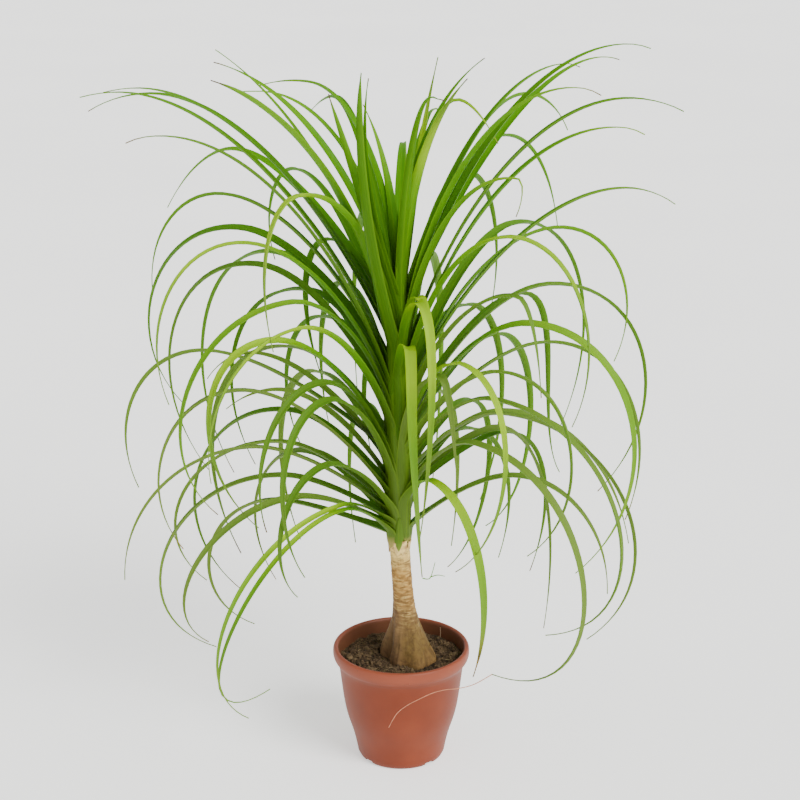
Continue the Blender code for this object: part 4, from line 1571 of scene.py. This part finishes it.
        # the lower leaves are older, so their bases and the darker of their blades are duller; the
        # paler grey tint is also painted light that lifts their shade
        aged_and_lit_base = 0.42 * smooth_step(0.85, 0.10, age)
        aged = 1.67 * aged_and_lit_base * smooth_step(0.80, 0.45, leaf.tone.value)
        aged *= 0.35 if leaf.tone is DEEP else 1.0
        reach, height, shares = self.midrib(leaf, root_height, sheath, lift)
        crest = float(shares[int(np.argmax(height))]) if leaf.crest else self.upright_crest
        outward = Vector((math.cos(angle), math.sin(angle), 0.0))
        sideways = Vector((-math.sin(angle), math.cos(angle), 0.0))
        upward = Vector((0.0, 0.0, 1.0))
        last = len(shares) - 1
        span = np.cumsum([0.0, *np.hypot(np.diff(reach), np.diff(height))])
        line = []
        for i, share in enumerate(shares):
            ahead = Vector((reach[min(i + 1, last)] - reach[max(i - 1, 0)],
                            height[min(i + 1, last)] - height[max(i - 1, 0)])).normalized()
            tangent = outward * ahead.x + upward * ahead.y
            normal = upward * ahead.x - outward * ahead.y
            blade_share = max(0.0, share)
            swing = sway * math.sin(math.pi * blade_share)
            narrowing = (1.0 - blade_share ** leaf.blunt) ** 1.15
            half = max(self.tip_width, self.blade_width * leaf.width * narrowing) / 2.0
            clasp = 1.0 - smooth_step(sheath, sheath + self.sheath_taper, span[i])
            base = self.sheath_wrap * float(self.core_radius(height[i])) + 0.001
            half = blend(half, max(half, base), clasp)
            # painted highlight: a band just past the crest is paler
            glow = crest_highlight * math.exp(-((blade_share - crest - 0.06) / 0.16) ** 2)
            pointed = blend(0.02, 1.0, min(1.0, span[i] / self.sheath_foot)) ** 0.7
            # towards the tip the blade is paler: its own paler tip, and painted light against the
            # shade of the thin rolled tip
            paling = smooth_step(0.60, 1.0, share)
            dulled = fading * smooth_step(crest, 0.90, share)
            # a pale leaf is pale where it hangs, and shows its greener upper face as it rises
            turned = smooth_step(crest - 0.25, crest + 0.05, share)
            here = blend(min(tone, 0.50), tone, turned) + glow + 0.20 * paling - 0.7 * dulled
            spread = smooth_step(0.02, 0.30, share)
            line.append({
                "position": self.axis + outward * reach[i] + upward * height[i]
                + sideways * swing,
                "face_up": Matrix.Rotation(twist * blade_share, 3, tangent) @ normal,
                "half_width": half * pointed,
                "rolled": max(1.0 - narrowing, 0.25 * clasp),
                "tone": blend(shaded_base_tone, here, spread),
                "aged": blend(aged_and_lit_base, aged + dulled + 0.15 * paling, spread),
                "blanched": clasp * smooth_step(self.foot + 0.015, self.foot - 0.003, height[i]),
                "withered": smooth_step(0.99 - 2.0 * withered, 1.0 - 0.5 * withered, share)
                if withered else 0.0})
        return line

    def against_stem(self, azimuth: float, clearance: float, height: float,
                     **attributes: float) -> dict[str, Any]:
        """One point of a strip that lies against the stem.

        Args:
            azimuth: direction from the stem's axis, in degrees.
            clearance: how far it is from the surface of the stem's foot.
            height: its height.
            attributes: its other attributes.

        Returns:
            The point.
        """
        angle = math.radians(azimuth)
        outward = Vector((math.cos(angle), math.sin(angle), 0.0))
        spot = self.axis + outward * (self.neck_radius + clearance) + Vector((0.0, 0.0, height))
        return {"position": spot, "face_up": -outward, **attributes}

    def stub(self) -> Line:
        """The green base of a lost leaf, whose pointed foot runs down the front of the stem.

        Returns:
            The base, from its foot up.
        """
        line = []
        for share in np.linspace(0.0, 1.0, 15):
            bulge = (self.stub_half_width - 0.0002) * math.sin(math.pi * share) ** 0.8
            line.append(self.against_stem(
                self.stub_azimuth, blend(*self.stub_clearance, share),
                self.foot + blend(*self.stub_ends, share), half_width=0.0002 + bulge,
                rolled=0.25, tone=blend(0.50, 0.10, share), aged=0.35,
                blanched=0.45 * (1.0 - share) ** 2))
        return line

    def build_core(self, skin: bpy.types.Material) -> bpy.types.Object:
        """Build the green stem inside the leaf bases, from the bare trunk to the heart.

        Args:
            skin: the leaves' material.

        Returns:
            The stem.
        """
        outline = spline_points(self.core_outline(), 10)
        rings = np.zeros((len(outline), self.core_sides, 3))
        for i, (radius, height) in enumerate(outline):
            for j in range(self.core_sides):
                angle = 2.0 * math.pi * j / self.core_sides
                around = Vector((math.cos(angle), math.sin(angle), 0.0))
                spot = around * 0.011 + Vector((0.0, 0.0, height))
                swell = 1.0 + 0.04 * noise.noise(spot * 160.0)
                rings[i, j] = (*(self.axis + around * radius * swell).xy, height)
        mesh = lofted_mesh("green_stem", rings)
        for name, value in {"tone": 0.30, "across": 0.5, "side": 1.0, "withered": 0.0}.items():
            mark(mesh, name, [value] * len(mesh.vertices))
        mesh.materials.append(skin)
        shade(mesh)
        return new_object("green_stem", mesh)

    def build_old_bases(self) -> None:
        """Sweep the papery bases of shed leaves, which wrap the top of the bare trunk."""
        looks = random.Random(self.seed + 3)
        lines = []
        for i in range(self.old_bases):
            azimuth = i * GOLDEN_ANGLE + 20.0
            bottom = self.foot - looks.uniform(0.005, 0.015)
            top = self.foot + looks.uniform(0.001, 0.005)
            half = looks.uniform(*self.base_half_width)
            line = []
            for share in np.linspace(0.0, 1.0, 9):
                widened = math.sqrt(blend(0.05, 1.0, min(1.0, 2.5 * share)))
                line.append(self.against_stem(
                    azimuth, blend(*self.base_clearance, share ** 2), blend(bottom, top, share),
                    half_width=half * widened, rolled=0.0))
            lines.append(line)
        paper = DryFibre("#E3C478", "#A9854A", 5.0).material("papery_base")
        bases = sweep("old_leaf_bases", lines, (12, 0.32, 0.07, 0.0, 0.0), paper, 75.0)
        place(bases, "leaf")

    def build(self) -> None:
        """Build the stem, sweep its leaves and add the bases of the shed ones."""
        skin = self.finish.material()
        draws = random.Random(self.seed + 1)
        looks = random.Random(self.seed + 2)
        lines = []
        for root_height, leaf in [*self.outline_leaves(), *self.spiral_leaves()]:
            twist = math.radians(draws.uniform(-self.twist_most, self.twist_most))
            lines.append(self.blade(leaf, root_height, twist, looks))
        lines.append(self.stub())
        lines.extend(thread_line(corners, 8, self.thread_half_width, 0.5, rolled=1.0, tone=0.6)
                     for corners in self.tip_threads)
        leaves = sweep("strap_leaves", lines, (12, 0.42, 0.055, 0.35, 0.5), skin, 75.0)
        place(leaves, "leaf", "leafy_stem")
        place(self.build_core(skin), "leaf")
        self.build_old_bases()


@dataclass
class DryThread:
    """The dead thread that ends a low leaf and hangs in front of the pot."""
    finish: DryFibre
    half_width: float = 0.0005
    # corner points in metres along the thread
    corners: tuple[Point3, ...] = (
        (0.0899, -0.0771, 0.1250), (0.0720, -0.0830, 0.1170), (0.0567, -0.0850, 0.1135),
        (0.0432, -0.0850, 0.1119), (0.0309, -0.0840, 0.1079), (0.0185, -0.0820, 0.1005),
        (0.0062, -0.0780, 0.0914), (-0.0045, -0.0745, 0.0800), (-0.0125, -0.0710, 0.0630))

    def build(self) -> None:
        """Sweep the thread."""
        line = thread_line(self.corners, 6, self.half_width, 0.35, rolled=0.0)
        thread = sweep("dry_thread", [line], (8, 0.0, 0.8, 0.0, 0.0),
                       self.finish.material("dry_thread"), 180.0)
        place(thread, "leaf")


# ---------------------------------------------------------------------------- studio


@dataclass
class Studio:
    """A plain pale floor, soft lights and the camera."""
    target: Vector
    distance: float = 1.856
    pitch: float = 18.25
    lens: float = 85.0
    sun_strength: float = 4.2
    sun_softness: float = 32.0    # degrees across
    sun_from: Point3 = (1.0, -1.0, 1.15)
    dome: float = 0.72            # the sky's brightness above and at the horizon
    horizon: float = 2.1
    floor_reach: float = 30.0

    def floor(self) -> None:
        """Lay the paper floor."""
        mesh = bpy.data.meshes.new("paper_floor")
        reach = self.floor_reach
        mesh.from_pydata([(-reach, -reach, 0.0), (reach, -reach, 0.0), (reach, reach, 0.0),
                          (-reach, reach, 0.0)], [], [(0, 1, 2, 3)])
        paper = new_object("paper_floor", mesh)
        mesh.materials.append(StudioPaper().material())

    def sun(self) -> None:
        """Hang a large, distant soft light at the upper right in front."""
        light = bpy.data.lights.new("key_light", "SUN")
        light.energy = self.sun_strength
        light.angle = math.radians(self.sun_softness)
        lamp = bpy.data.objects.new("key_light", light)
        lamp.rotation_euler = Vector(self.sun_from).to_track_quat("Z", "Y").to_euler()
        bpy.context.scene.collection.objects.link(lamp)

    def sky(self) -> None:
        """Surround the studio with white light, brighter towards the horizon."""
        world = bpy.data.worlds.new("studio_sky")
        world.use_nodes = True
        node = partial(add_node, world.node_tree)
        where = node("ShaderNodeTexCoord").outputs["Generated"]
        split = node("ShaderNodeSeparateXYZ", {0: where})
        level = node("ShaderNodeMapRange", {
            "Value": split.outputs["Z"], "From Min": 0.04, "From Max": 0.30,
            "To Min": self.horizon, "To Max": self.dome}, interpolation_type="SMOOTHSTEP")
        feed(world.node_tree.nodes["Background"],
             {"Color": (1.0, 1.0, 1.0, 1.0), "Strength": level})
        bpy.context.scene.world = world

    def camera(self) -> None:
        """Set the camera in front, a little above, looking at the middle of the plant."""
        pitch = math.radians(self.pitch)
        away = Vector((0.0, -math.cos(pitch), math.sin(pitch))) * self.distance
        data = bpy.data.cameras.new("camera")
        data.lens = self.lens
        data.sensor_width = 36.0
        camera = bpy.data.objects.new("camera", data)
        camera.location = self.target + away
        camera.rotation_euler = (-away).to_track_quat("-Z", "Y").to_euler()
        bpy.context.scene.collection.objects.link(camera)
        bpy.context.scene.camera = camera

    def build(self) -> None:
        """Set up the floor, the lights and the camera."""
        self.floor()
        self.sun()
        self.sky()
        self.camera()


def main() -> None:
    """Build every sub-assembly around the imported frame."""
    logging.basicConfig(level=logging.INFO, format="%(message)s")
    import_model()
    pot_low, pot_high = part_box("pot")
    trunk_low, trunk_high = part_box("trunk")

    trunk = SwollenTrunk(RingedBark(), trunk_low[2], trunk_high[2])
    pot = NurseryPot(MouldedPolypropylene(), pot_high[2], (pot_high[0] - pot_low[0]) / 2.0)
    pot.build()
    PottingSoil(PeatSoil(), pot, trunk).build()
    trunk.build()
    axis = Vector((trunk.top_offset.x, trunk.top_offset.y, 0.0))
    LeafCrown(LeafSkin(), trunk.top + GAP, axis).build()
    DryThread(DryFibre()).build()
    Studio(Vector((-0.0012, 0.0, 0.3845))).build()


if __name__ == "__main__":
    main()
